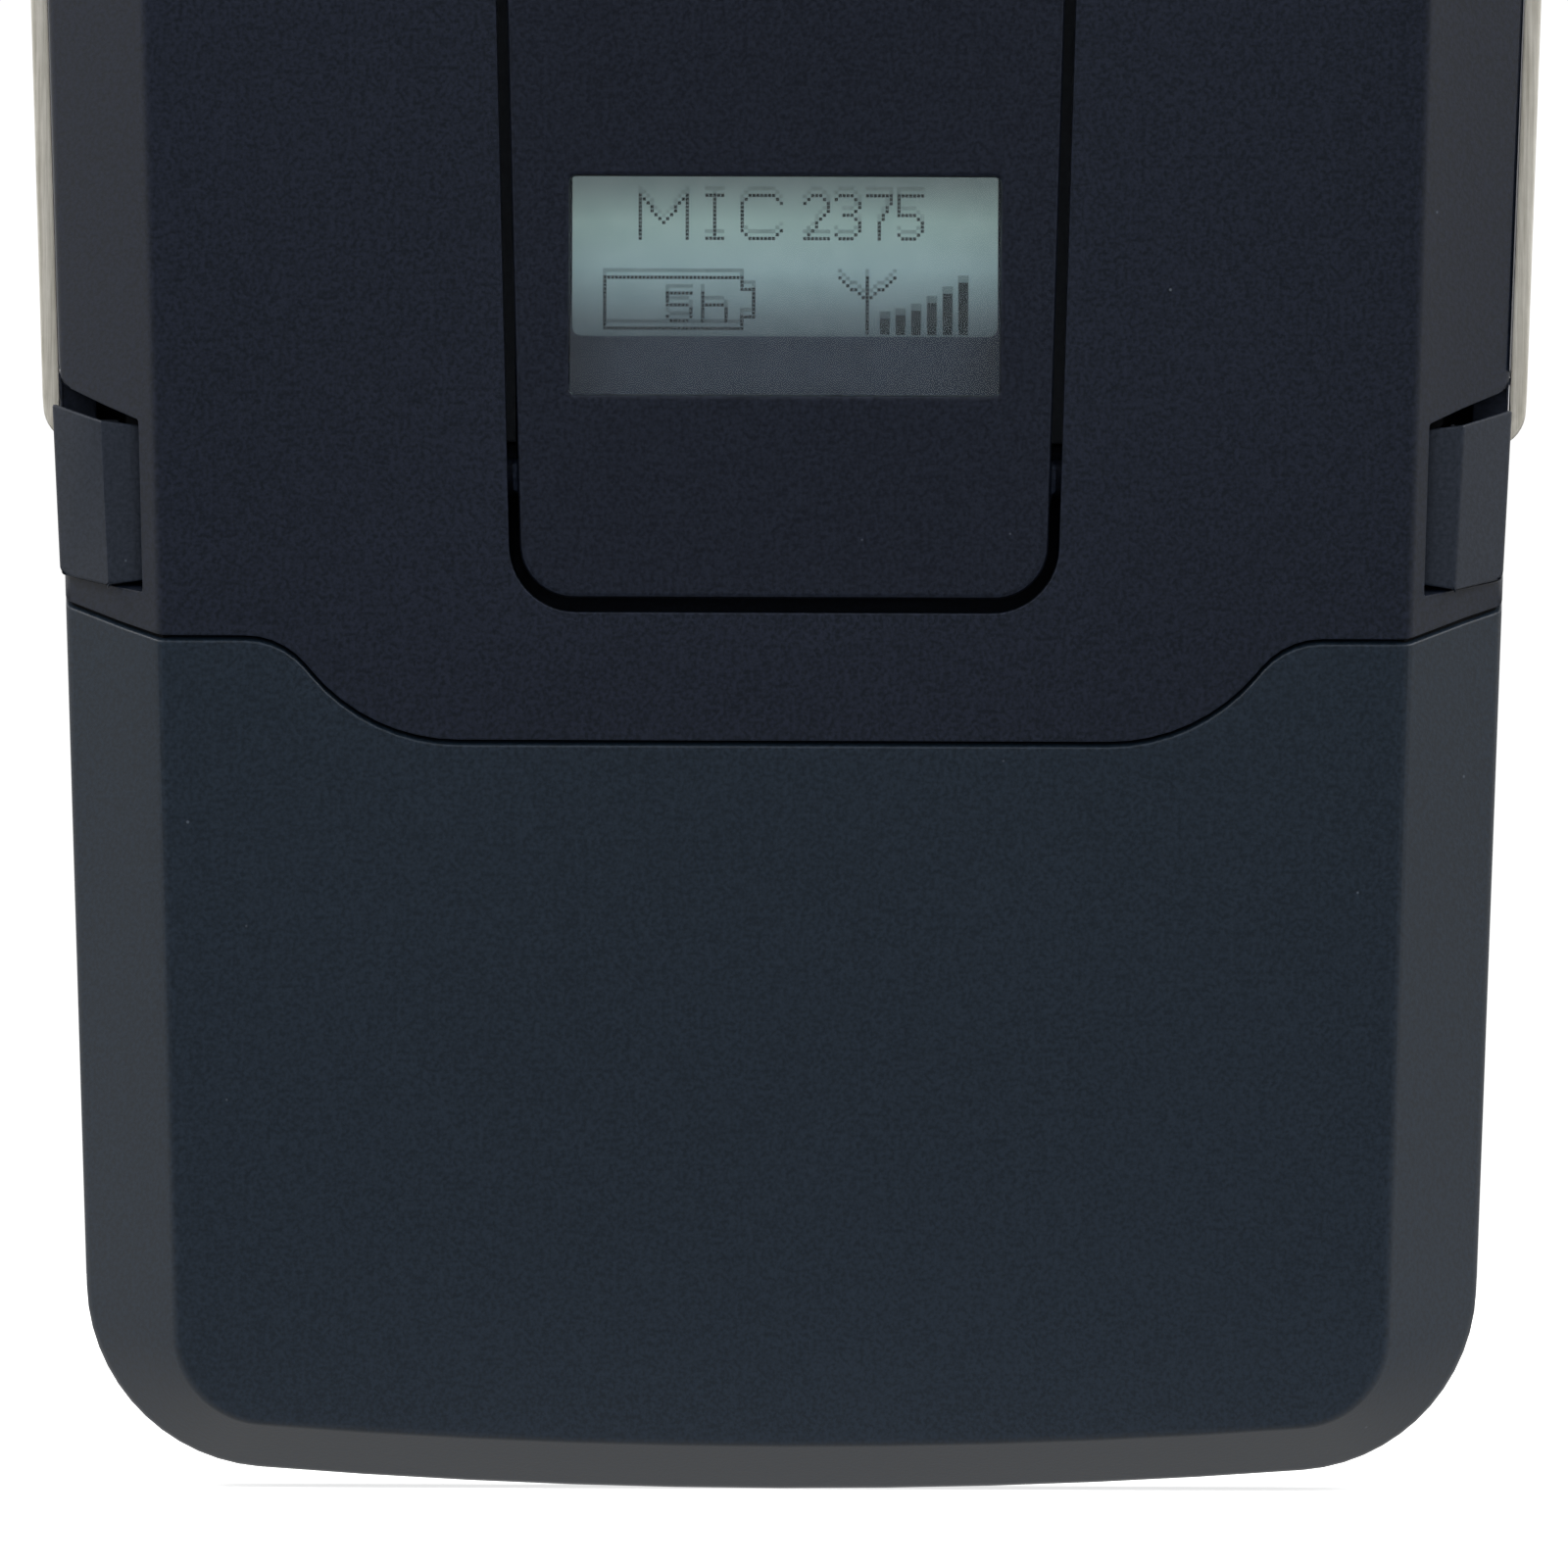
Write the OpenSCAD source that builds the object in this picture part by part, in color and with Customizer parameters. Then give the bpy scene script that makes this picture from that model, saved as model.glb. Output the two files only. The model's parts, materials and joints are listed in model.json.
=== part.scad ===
// Bodypack transmitter with a hinged display flap, a slide-off battery pack and a steel belt clip.
// +Z is up, the front faces -Y and +X is to the viewer's right. Sizes are in millimetres.
// Drawing coordinates put the front face at y = 0; to_origin() then centres the whole in depth.

/* [Body] */
// Height of the casing, battery pack included
body_h = 98; // [97:0.5:99]
// Depth of the casing from the front face to the back face
body_d = 20.5; // [20.5:0.1:21.5]
// Width across the side walls at the bottom edge
body_w_low = 57.3; // [56.8:0.1:58]
// Width across the side walls at the top edge
body_w_high = 63.8; // [63.4:0.1:64.6]
// Width of the flat front face at the bottom edge
face_w_low = 49.9; // [49.6:0.1:50.4]
// Width of the flat front face at the top edge
face_w_high = 55.3; // [55:0.1:55.8]
// Radius of the slightly arched bottom and top edges
crown_r = 285; // [260:5:400]
// Corner radius of the outline
corner_r = 7.8; // [7:0.1:8.4]
// Corner radius of the flat front face
face_corner_r = 3.7; // [3.2:0.1:4]
// Depth of the slope between the front face and the side walls
front_bevel = 4; // [3.8:0.1:4.2]
// Depth of the slope between the back face and the side walls
back_bevel = 3; // [2.6:0.1:3.2]
// Rounding of the body's edges
edge_r = 0.8; // [0.6:0.05:1]
// Thickness of the shell walls
wall = 1.5; // [1.4:0.05:1.6]

/* [Pack joint] */
// Height of the joint on the front face, in the middle
joint_z = 30.85; // [30.5:0.05:31.2]
// Rise of the joint from the middle to the sides
joint_rise = 4.3; // [4.1:0.05:4.5]
// Half-width of the level middle stretch of the joint
joint_half_w = 13.5; // [13:0.1:14]
// Slope of the joint from the front up to the back, in degrees
joint_slant = 19.9; // [18:0.1:21]
// Visible gap between the housing and the pack
joint_gap = 0.2; // [0.15:0.01:0.25]

/* [Display flap] */
// Height of the flap's lower edge
flap_z = 37; // [36.9:0.05:37.1]
// Height of the flap's upper edge
flap_top = 84; // [83.6:0.1:84]
// Width of the flap where its sides, drawn on, would meet the bottom edge of the body
flap_w_low = 19.8; // [19.6:0.05:20]
// Growth of the flap's width for each millimetre of height
flap_taper = 0.0546; // [0.052:0.0002:0.056]
// Thickness of the flap
flap_t = 1.3; // [1.2:0.05:1.35]
// Gap between the flap's sides and the housing
flap_gap = 0.45; // [0.4:0.01:0.5]
// Height of the flap's hinge axis
hinge_z = 42; // [41.9:0.05:42.1]
// Depth of the flap's hinge axis behind the front face
hinge_y = 2.2; // [2.15:0.05:2.3]
// Radius of the flap's stub axles
axle_r = 0.8; // [0.7:0.05:0.85]
// Width of the display window
window_w = 17.87; // [17.6:0.01:18]
// Height of the display window
window_h = 9.06; // [8.9:0.01:9.2]
// Height of the display window's lower edge
window_z = 45.45; // [45.4:0.05:45.6]

/* [Controls] */
// Radius of the power button
power_r = 3.2; // [3:0.1:3.3]
// Radius of the two small buttons
small_r = 2.2; // [2:0.1:2.3]
// Height of the power button's centre
power_z = 75.5; // [75:0.5:76]
// Height of the small buttons' centres
small_z = 64; // [63.5:0.5:64.5]
// Distance of the small buttons from the middle
small_x = 5.5; // [5.2:0.1:5.7]
// Travel of the mute switch
mute_travel = 2.4; // [2:0.1:2.4]

/* [Microphone socket] */
// Bore radius of the socket for a 3.5 mm plug
jack_r = 1.8; // [1.78:0.01:1.84]
// Radius of the threaded bush that a locking plug screws on to
bush_r = 3; // [3:0.01:3]
// Height of the bush above the top edge
bush_rise = 3; // [2.5:0.1:3]

/* [Release buttons] */
// Height of the window's lower edge at its front corner
catch_z = 37.2; // [37.1:0.05:37.3]
// Height of the window's upper edge at its front corner
catch_top = 44.3; // [44.2:0.05:44.4]
// Depth of the window's front edge behind the front face
catch_y = 0.7; // [0.65:0.05:0.8]
// How far the left button stands out past the side wall
catch_proud = 0.15; // [0.1:0.01:0.2]
// How much less the right button stands out
catch_right_in = 0.2; // [0:0.05:0.2]

/* [Belt clip] */
// Thickness of the spring steel
clip_t = 0.72; // [0.7:0.01:0.74]
// Gap between the clip's arms and the side walls
clip_gap = 0.08; // [0.06:0.01:0.1]
// Height of the clip's pivot
pivot_z = 43.7; // [43.5:0.05:43.9]
// Depth of the clip's pivot behind the front face
pivot_y = 14.5; // [14.4:0.1:14.6]
// Radius of the clip's pivot pins
pivot_r = 1.1; // [1:0.05:1.15]
// Room for a belt between the back face and the clip
belt_room = 5; // [4.8:0.1:5.4]
// Width of the clip's tongue
tongue_w = 23; // [20:0.5:24]

/* [Hidden] */
$fn = 48;

shell_colour = "#22262f";
bevel_colour = "#2a2f38";
steel_colour = "#c9c5bd";
brass_colour = "#c9a24a";
board_colour = "#1f5a38";
chip_colour = "#17181a";

// a length past the whole body, for cuts
far = 60;
// straight steps that make up a corner and half of an arched edge
corner_steps = 13;
crown_steps = 5;
// running clearance on the pins' radii
run = 0.05;

// half-widths at the foot of the body and their growth with height
side_b = body_w_low / 2;
side_k = (body_w_high - body_w_low) / 2 / body_h;
face_b = face_w_low / 2;
face_k = (face_w_high - face_w_low) / 2 / body_h;
lean = atan(side_k);
// height of the slope along the bottom and top edges
edge_rise = 1.85;
back_edge_rise = 1.6;
back_corner_r = 5;
// an inner wall runs this share of its thickness inside a sloped edge
slope_inset = 0.414;
edge_inset = 0.65;

// joint between the two housing shells, and the lower edge of the cap above the rear shell
split_y = 11;
cap_z = 93.4;
shell_gap = 0.05;

flap_b = flap_w_low / 2;
flap_k = flap_taper / 2;
well_b = flap_b + flap_gap;
well_z = flap_z - 0.6;
well_top = flap_top + 0.6;
rim_t = 1.3;
rim_y = 3;
plate_y = 3.05;
plate_t = 1;
pocket_y = 7.9;
pocket_top = 42.5;
flat_crown = 20000;

// the clip's inner face behind the body, its bend radius, and how far its joined parts lie inside it
clip_y = body_d + belt_room;
clip_corner = 2;
clip_inset = 0.02;
depth_all = clip_y + clip_t;

// far ends of the flap's stub axles
axle_x = 13.2;

// screws between the housing shells, and the posts that take them
screw_x = 20;
screw_zs = [48, 89];
screw_r = 0.98;
screw_head_r = 1.9;
screw_seat = 1.6;
front_post_r = 2.6;
rear_post_r = 3;
pilot_r = 1;

// main board and its two standoffs
standoff_x = 19;
standoff_z = 66;
standoff_r = 2.2;
board_screw_r = 0.78;
board_y = 9.2;
board_t = 0.8;
board_back = board_y + board_t;

// row of fittings on the top edge
top_y = 10.25;
jack_x = -12;
nut_seat_z = 97;
nut_top = nut_seat_z + 1.6;
nut_r = 4.8;
nut_floor = 2.6;
neck_r = 2.5;
mute_x = 8;
mute_z = 97;
lens_x = -2;
lens_r = 1;

// contacts between the housing and the pack
contact_xs = [-4.5, -1.5, 1.5, 4.5];
contact_y = 15.2;
contact_z = 36;
contact_r = 0.55;

// charging socket and lamp in the pack's foot
charge_y = 14.6;
charge_x = 8;
charge_r = 0.9;

// latch arms of the pack, the hooks at their tips and the ledges that hold them
arm_y = [5.5, 8.5];
arm_x = [26.2, 27.4];
hook_x = 28.3;
hook_z = [47, 48.2];
ledge_x = [27.6, 29.4];
ledge_y = [5, 9];
ledge_z = [45.95, 46.85];

// window of a release button: depths of its bends, its back edge and its deepest cut
catch_bend_y = 4;
catch_back_y = 8.6;
catch_inner_x = 24;
catch_outer_x = 34;

function side_x(z) = side_b + side_k * z;
function arc(x, z, r, a0, a1, n, skip = 0) =
  [for (i = [skip : n]) let (a = a0 + (a1 - a0) * i / n) [x + r * cos(a), z + r * sin(a)]];

// right half of an outline, bottom middle to top middle: an arched foot, a rounded corner,
// a side that leans out by k, a second corner and an arched top
function half_outline(b, k, z0, z1, r0, r1, c) =
  let (
    s = sqrt(1 + k * k),
    tilt = atan(k),
    x0 = b + k * (z0 + r0) - r0 * s,
    x1 = b + k * (z1 - r1) - r1 * s,
    low = z0 + c - sqrt(pow(c - r0, 2) - x0 * x0),
    high = z1 - c + sqrt(pow(c - r1, 2) - x1 * x1),
    p0 = asin(x0 / (c - r0)),
    p1 = asin(x1 / (c - r1))
  )
  concat(
    arc(0, z0 + c, c, -90, -90 + p0, crown_steps),
    arc(x0, low, r0, -90 + p0, -tilt, corner_steps, 1),
    arc(x1, high, r1, -tilt, 90 - p1, corner_steps),
    arc(0, z1 - c, c, 90 - p1, 90, crown_steps, 1)
  );

function outline(b, k, z0, z1, r0, r1, c) =
  let (h = half_outline(b, k, z0, z1, r0, r1, c), n = len(h))
  concat(h, [for (i = [n - 2 : -1 : 1]) [-h[i][0], h[i][1]]]);

// strip of even thickness along a list of points
function normal(p, i) =
  let (
    a = p[max(i - 1, 0)],
    b = p[min(i + 1, len(p) - 1)],
    d = (b - a) / norm(b - a)
  ) [-d[1], d[0]];
function strip(p, t) = concat(
  [for (i = [0 : len(p) - 1]) p[i] + normal(p, i) * t / 2],
  [for (i = [len(p) - 1 : -1 : 0]) p[i] - normal(p, i) * t / 2]
);

module to_origin() {
  translate([0, -depth_all / 2, 0]) children();
}

// extrudes an x-z drawing from y0 to y1
module plate(y0, y1) {
  translate([0, y1, 0]) rotate([90, 0, 0]) linear_extrude(y1 - y0) children();
}

// extrudes a y-z drawing from x0 to x1
module bar(x0, x1) {
  translate([x0, 0, 0]) rotate([90, 0, 90]) linear_extrude(x1 - x0) children();
}

module box(p, q) {
  translate(p) cube(q - p);
}

module both_sides() {
  children();
  mirror([1, 0, 0]) children();
}

// round bar along x, along y and along z, between two ends
module rod_x(x0, x1, y, z, r) {
  translate([x0, y, z]) rotate([0, 90, 0]) cylinder(h = x1 - x0, r = r);
}
module rod_y(y0, y1, x, z, r) {
  translate([x, y1, z]) rotate([90, 0, 0]) cylinder(h = y1 - y0, r = r);
}
module rod_z(z0, z1, x, y, r) {
  translate([x, y, z0]) cylinder(h = z1 - z0, r = r);
}

// closed skin through a row of outlines, each a list of x-z points at its own depth
module loft(rings, depths) {
  n = len(rings[0]);
  m = len(rings);
  spots = [for (j = [0 : m - 1]) for (p = rings[j]) [p[0], depths[j], p[1]]];
  front = [for (i = [n - 1 : -1 : 0]) i];
  back = [for (i = [0 : n - 1]) (m - 1) * n + i];
  sides = [for (j = [0 : m - 2]) for (i = [0 : n - 1]) for (half = [0, 1])
    let (a = j * n + i, b = j * n + (i + 1) % n)
    half == 0 ? [a, b, a + n] : [b, b + n, a + n]];
  polyhedron(points = spots, faces = concat([front], sides, [back]));
}

// outline at a share s of the way from the side walls in to a flat face: f holds that face's
// half-width, its growth, the rise of its edge and its corner radius, all inset by t
function ring(s, f, t) =
  let (
    side = [side_b - t, side_k, t, corner_r - t],
    p = side + (f - side) * s
  )
  outline(p[0], p[1], p[2], body_h - p[2], p[3], p[3], crown_r);

// [inset, depth] of each ring from a flat face, at depth t, round its edge, down a 45 degree
// slope and round the edge of the side wall; e is the radius of the rounding
function edge_path(bevel, t, e) =
  let (
    turns = e == 0 ? [0] : [0, 15, 30, 45],
    lap = e * tan(22.5),
    slope = slope_inset * t
  )
  concat(
    [for (a = turns) [bevel + lap - e * sin(a), t + e - e * cos(a)]],
    [for (a = turns) [e - e * sin(45 + a), bevel + slope + lap - e * cos(45 + a)]]
  );

// the body's outer form with its edges rounded to edge_r, or its hollow when inset by t
module form(t) {
  slope = slope_inset * t;
  edge = edge_inset * t;
  e = t > 0.5 ? 0 : edge_r;
  front = [face_b - slope, face_k, edge_rise + edge, max(face_corner_r - t, 1)];
  back = [side_b - back_bevel - slope, side_k, back_edge_rise + edge, back_corner_r - t];
  front_path = edge_path(front_bevel, t, e);
  back_path = edge_path(back_bevel, t, e);
  last = len(back_path) - 1;
  loft(
    concat([for (p = front_path) ring(p[0] / front_bevel, front, t)],
      [for (i = [last : -1 : 0]) ring(back_path[i][0] / back_bevel, back, t)]),
    concat([for (p = front_path) p[1]], [for (i = [last : -1 : 0]) body_d - back_path[i][1]])
  );
}

// everything under the joint surface, raised by s
module under_joint(s) {
  r_low = 8;
  r_high = 3.3;
  turn = 50;
  run_up = (joint_rise - (r_low + r_high) * (1 - cos(turn))) / sin(turn);
  x_end = joint_half_w + (r_low + r_high) * sin(turn) + run_up * cos(turn);
  z_end = joint_z + joint_rise;
  half = concat(
    arc(joint_half_w, joint_z + r_low, r_low, -90, -90 + turn, 8),
    arc(x_end, z_end - r_high, r_high, 90 + turn, 90, 5),
    [[far, z_end], [far, -far]]
  );
  shape = concat(half, [for (i = [len(half) - 1 : -1 : 0]) [-half[i][0], half[i][1]]]);
  translate([0, 0, s]) rotate([joint_slant, 0, 0])
    plate(-far / 4, far) polygon([for (p = shape) [p[0], p[1] * cos(joint_slant)]]);
}

// well in the front face that the flap closes, grown by g
module well(g, y0, y1) {
  plate(y0, y1)
    polygon(outline(well_b + g, flap_k, well_z - g, well_top + g, 2.8 + g, 2 + g, flat_crown));
}

// side window of a release button, on the right, its outer upper corner rounded off
module catch_window() {
  corner = 1.2;
  turn = -75;
  top = catch_top + 1.5;
  centre = [side_x(top) - corner, top + 0.72];
  start = centre + corner * [cos(turn), sin(turn)];
  low = start[1] - 0.1;
  bar(catch_inner_x, catch_outer_x) polygon([
    [catch_y, catch_z], [catch_bend_y, catch_z + 0.7], [catch_back_y, catch_z + 1.9],
    [catch_back_y, top], [catch_bend_y, top], [catch_y, catch_top]
  ]);
  plate(0, catch_back_y - 0.1) polygon(concat(
    [[catch_outer_x, centre[1]], [catch_outer_x, low], [start[0], low]],
    arc(centre[0], centre[1], corner, turn, 0, 8)
  ));
}

// slot for a latch arm through the walls at the joint, on the right
module arm_slot() {
  box([24.9, arm_y[0] - 0.3, 33], [27.7, arm_y[1] + 0.3, 42]);
}

module housing_hollow() {
  difference() {
    form(wall);
    under_joint(joint_gap + wall);
  }
}

module front_region() {
  box([-far, -1, 0], [far, split_y, body_h + 1]);
  box([-far, -1, cap_z], [far, body_d + 1, body_h + 1]);
}

module hinge_pocket() {
  half_w = 13;
  low = well_z - rim_t;
  high = pocket_top + 0.9;
  plate(1, pocket_y + 0.5)
    polygon([[-half_w, low], [half_w, low], [half_w, high], [-half_w, high]]);
}

module contact_holes() {
  for (x = contact_xs) rod_z(30, 42, x, contact_y, contact_r + 0.1);
}

// the front half of the housing, with the well of the flap, its thumbnail notch and the top edge
module front_shell() {
  nail_r = 3.4;
  roof = body_h - 8;
  above = body_h + 1;
  color(shell_colour) to_origin() difference() {
    union() {
      difference() {
        intersection() {
          form(0);
          front_region();
        }
        housing_hollow();
      }
      intersection() {
        union() {
          difference() {
            well(rim_t, 1, rim_y);
            box([-far, 0, pocket_top + 0.9], [far, 1, body_h]);
          }
          hinge_pocket();
          both_sides() {
            rod_x(well_b + flap_k * hinge_z, axle_x + 1, hinge_y, hinge_z, axle_r + 0.7);
            for (z = screw_zs) rod_y(1, split_y, screw_x, z, front_post_r);
            rod_y(1, board_y - shell_gap, standoff_x, standoff_z, standoff_r);
            box([ledge_x[0], ledge_y[0], ledge_z[0]], [ledge_x[1], ledge_y[1], ledge_z[1]]);
          }
          rod_z(nut_seat_z - nut_floor, body_h, jack_x, top_y, nut_r + 1);
        }
        form(0.2);
      }
    }
    under_joint(joint_gap);
    well(0, -1, rim_y + 1);
    intersection() {
      well(0, -1, pocket_y);
      box([-far, -1, 0], [far, far, pocket_top]);
    }
    rod_y(-3, 1, 0, well_top + 1.2, nail_r);
    both_sides() {
      rod_x(10, axle_x + 0.2, hinge_y, hinge_z, axle_r + run);
      for (z = screw_zs) rod_y(split_y - 7, split_y + 1, screw_x, z, pilot_r);
      rod_y(board_y - 6, board_y + 1, standoff_x, standoff_z, board_screw_r + 0.02);
      catch_window();
      arm_slot();
    }
    rod_z(nut_seat_z, above, jack_x, top_y, nut_r + 0.4);
    rod_z(roof, above, jack_x, top_y, neck_r + 0.06);
    rod_z(roof, above, lens_x, top_y, lens_r + 0.04);
    box([mute_x - 4.2, top_y - 2.4, mute_z], [mute_x + 4.2, top_y + 2.4, above]);
    box([mute_x - 2.1, top_y - 0.9, mute_z - 3], [mute_x + 2.1, top_y + 0.9, above]);
    contact_holes();
  }
}

module rear_shell() {
  color(shell_colour) to_origin() difference() {
    union() {
      difference() {
        form(0);
        box([-far, -1, -1], [far, split_y + shell_gap, body_h + 1]);
        box([-far, -1, cap_z - shell_gap], [far, far, body_h + 1]);
        housing_hollow();
      }
      intersection() {
        both_sides() {
          for (z = screw_zs) rod_y(split_y + shell_gap, body_d - 1, screw_x, z, rear_post_r);
          rod_x(26.6, side_x(pivot_z), pivot_y, pivot_z, pivot_r + 1.3);
        }
        form(0.2);
      }
    }
    under_joint(joint_gap);
    both_sides() {
      for (z = screw_zs) {
        rod_y(split_y - 1, body_d + 1, screw_x, z, screw_r + 0.12);
        rod_y(body_d - screw_seat, body_d + 1, screw_x, z, screw_head_r + 0.2);
      }
      rod_x(25, far, pivot_y, pivot_z, pivot_r + run);
      rod_x(side_x(pivot_z) - 1.15, far, pivot_y, pivot_z, pivot_r + 1.2);
    }
    contact_holes();
  }
}

module housing_screws() {
  color(steel_colour) to_origin() both_sides() {
    for (z = screw_zs) difference() {
      union() {
        rod_y(body_d - screw_seat + 0.02, body_d - 0.35, screw_x, z, screw_head_r);
        rod_y(split_y - 5.5, body_d - screw_seat + 0.1, screw_x, z, screw_r);
      }
      for (a = [0, 90]) translate([screw_x, body_d, z]) rotate([0, a, 0])
        cube([2.2, 1.9, 0.5], center = true);
    }
  }
}

module control_plate() {
  color("#2b2f36") to_origin() difference() {
    intersection() {
      well(1.1, plate_y, plate_y + plate_t);
      box([-far, 0, pocket_top + 0.95], [far, far, body_h]);
    }
    plate(0, 6) polygon([[-9.6, 45], [9.6, 45], [9.6, 55.2], [-9.6, 55.2]]);
    rod_y(0, 6, 0, power_z, power_r + 0.15);
    both_sides() rod_y(0, 6, small_x, small_z, small_r + 0.15);
  }
}

// a round button: cap through the plate and a flange behind it
module round_button(x, z, r) {
  cap_y = 2.2;
  back = plate_y + plate_t;
  difference() {
    union() {
      rod_y(cap_y, back + 0.15, x, z, r);
      rod_y(back + 0.1, back + 0.8, x, z, r + 0.8);
    }
    rod_y(cap_y - 0.2, cap_y + 0.15, x, z, r - 0.7);
  }
}

module power_button() {
  color("#8f949c") to_origin() round_button(0, power_z, power_r);
}
module set_button() {
  color("#8f949c") to_origin() round_button(-small_x, small_z, small_r);
}
module pair_button() {
  color("#8f949c") to_origin() round_button(small_x, small_z, small_r);
}

module tact_switches() {
  color(chip_colour) to_origin() {
    half = 2.2;
    for (p = [[0, power_z], [-small_x, small_z], [small_x, small_z]]) {
      box([p[0] - half, 5.7, p[1] - half], [p[0] + half, 6.9, p[1] + half]);
      rod_y(5.2, 5.8, p[0], p[1], half / 2);
    }
  }
}

module button_board() {
  color(board_colour) to_origin() box([-11, 6.92, 59], [11, 7.5, 81]);
}

module lcd_frame() {
  half_w = 8.85;
  sill = 47.9;
  r = 0.4;
  color("#3c424d") to_origin() difference() {
    box([-11.2, 4.1, 43.6], [11.2, 7.1, 57.2]);
    plate(4, 7.2) polygon(concat(
      [[half_w, 55.6], [-half_w, 55.6]],
      arc(r - half_w, sill + r, r, 180, 270, 5), arc(half_w - r, sill + r, r, 270, 360, 5)
    ));
    box([-10.7, 4.7, 44.3], [10.7, 7.2, 56.7]);
  }
}
module lcd_glass() {
  color("#8fa2a2") to_origin() box([-10.6, 4.72, 44.4], [10.6, 6.2, 56.6]);
}
module lcd_backlight() {
  color("#dfe6e6") to_origin() box([-10.6, 6.25, 44.4], [10.6, 7, 56.6]);
}
module lcd_ribbon() {
  path = concat([[7.2, 53]], arc(8.1, 47, 0.9, 180, 360, 12), [[9, 51]]);
  color("#b5702c") to_origin() bar(-5, 5) polygon(strip(path, 0.14));
}

module main_board() {
  color(board_colour) to_origin() difference() {
    box([-24, board_y, 43], [24, board_back, 84]);
    both_sides() {
      rod_y(0, 20, screw_x, screw_zs[0], front_post_r + 0.3);
      rod_y(0, 20, standoff_x, standoff_z, board_screw_r + 0.12);
    }
  }
}
module board_screws() {
  color(steel_colour) to_origin() both_sides() {
    rod_y(board_back, board_back + 0.8, standoff_x, standoff_z, 1.5);
    rod_y(board_y - 4, board_back + 0.1, standoff_x, standoff_z, board_screw_r);
  }
}
module board_chips() {
  y = board_back;
  color(chip_colour) to_origin() {
    box([-22, y, 74], [-16, y + 1, 80]);
    box([-6, y, 76], [2, y + 1.1, 82]);
    box([-8, board_y - 1, 60], [0, board_y, 68]);
    box([4, board_y - 1, 62], [9, board_y, 67]);
    box([13, board_y - 0.9, 54], [17, board_y, 58]);
    for (x = [-22, -19.4]) box([x, y, 52], [x + 1.6, y + 1.2, 56]);
  }
}
module rf_shield() {
  y = board_back;
  color("#b9bcc0") to_origin() difference() {
    box([-15, y, 51], [13, y + 2.6, 72]);
    box([-14.6, y - 1, 51.4], [12.6, y + 2.2, 71.6]);
    for (x = [-12 : 4 : 10]) rod_y(y, y + 3, x, 54, 0.6);
  }
}
module antenna() {
  y = board_back;
  color(brass_colour) to_origin() {
    box([4, y + 4.6, 79.4], [23.4, y + 5, 83.4]);
    box([23, y, 79.4], [23.4, y + 5, 83.4]);
    box([18.6, y, 79.4], [19, y + 4.7, 81]);
  }
}
module contact_block() {
  color("#1b1d21") to_origin() difference() {
    box([-7.5, board_back + 0.05, 43.9], [7.5, 17.6, 49.5]);
    for (x = contact_xs) rod_z(40, 48.2, x, contact_y, contact_r + 0.05);
  }
}
module contact_pins() {
  color(brass_colour) to_origin() for (x = contact_xs) {
    rod_z(contact_z + 0.4, 48.1, x, contact_y, contact_r);
    translate([x, contact_y, contact_z + 0.03]) cylinder(h = 0.4, r1 = 0.3, r2 = contact_r);
  }
}

module jack_bush() {
  color(steel_colour) to_origin() difference() {
    union() {
      rod_z(91, nut_top, jack_x, top_y, neck_r);
      rod_z(nut_top, body_h + bush_rise, jack_x, top_y, bush_r);
      rod_z(93, nut_seat_z - nut_floor - 0.05, jack_x, top_y, 4.4);
    }
    rod_z(90, body_h + bush_rise + 1, jack_x, top_y, jack_r);
  }
}
module jack_nut() {
  color(steel_colour) to_origin() difference() {
    translate([jack_x, top_y, nut_seat_z + 0.02]) cylinder(h = 1.5, r = nut_r, $fn = 6);
    rod_z(90, body_h + 5, jack_x, top_y, neck_r + 0.03);
  }
}
module jack_socket() {
  color("#1b1d21") to_origin() difference() {
    box([jack_x - 4.2, top_y - 4.2, 84.4], [jack_x + 4.2, top_y + 4.2, 90.95]);
    rod_z(85.6, 92, jack_x, top_y, jack_r + 0.5);
  }
}
module jack_contacts() {
  y = board_back;
  color(brass_colour) to_origin() for (x = [-15, -12, -9])
    box([x - 0.5, y + 0.05, 81], [x + 0.5, y + 0.35, 84.35]);
}
module mute_switch() {
  color("#1b1d21") to_origin() difference() {
    box([mute_x - 4.5, top_y - 2.2, 90.2], [mute_x + 4.5, top_y + 2.2, 93.9]);
    box([mute_x - 2.3, top_y - 1, 91.5], [mute_x + 2.3, top_y + 1, 95]);
  }
}
module mute_slider() {
  x = mute_x - mute_travel / 2;
  cap_top = mute_z + 1.7;
  color("#8f949c") to_origin() difference() {
    union() {
      box([x - 2.4, top_y - 2.1, mute_z + 0.1], [x + 2.4, top_y + 2.1, cap_top]);
      box([x - 0.7, top_y - 0.7, 92], [x + 0.7, top_y + 0.7, mute_z + 0.2]);
    }
    for (i = [-1 : 1]) rod_y(0, far, x + i * 1.3, cap_top + 0.2, 0.4);
  }
}
module status_lens() {
  color("#cfe8d2") to_origin() {
    rod_z(94, body_h, lens_x, top_y, lens_r);
    rod_z(93.6, 94.2, lens_x, top_y, lens_r + 0.5);
  }
}

module window_shape(g) {
  w = window_w / 2 + g;
  c = 0.25;
  z0 = window_z - g;
  z1 = window_z + window_h + g;
  polygon(concat(
    arc(w - c, z0 + c, c, -90, 0, 5), arc(w - c, z1 - c, c, 0, 90, 5),
    arc(c - w, z1 - c, c, 90, 180, 5), arc(c - w, z0 + c, c, 180, 270, 5)
  ));
}

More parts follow.
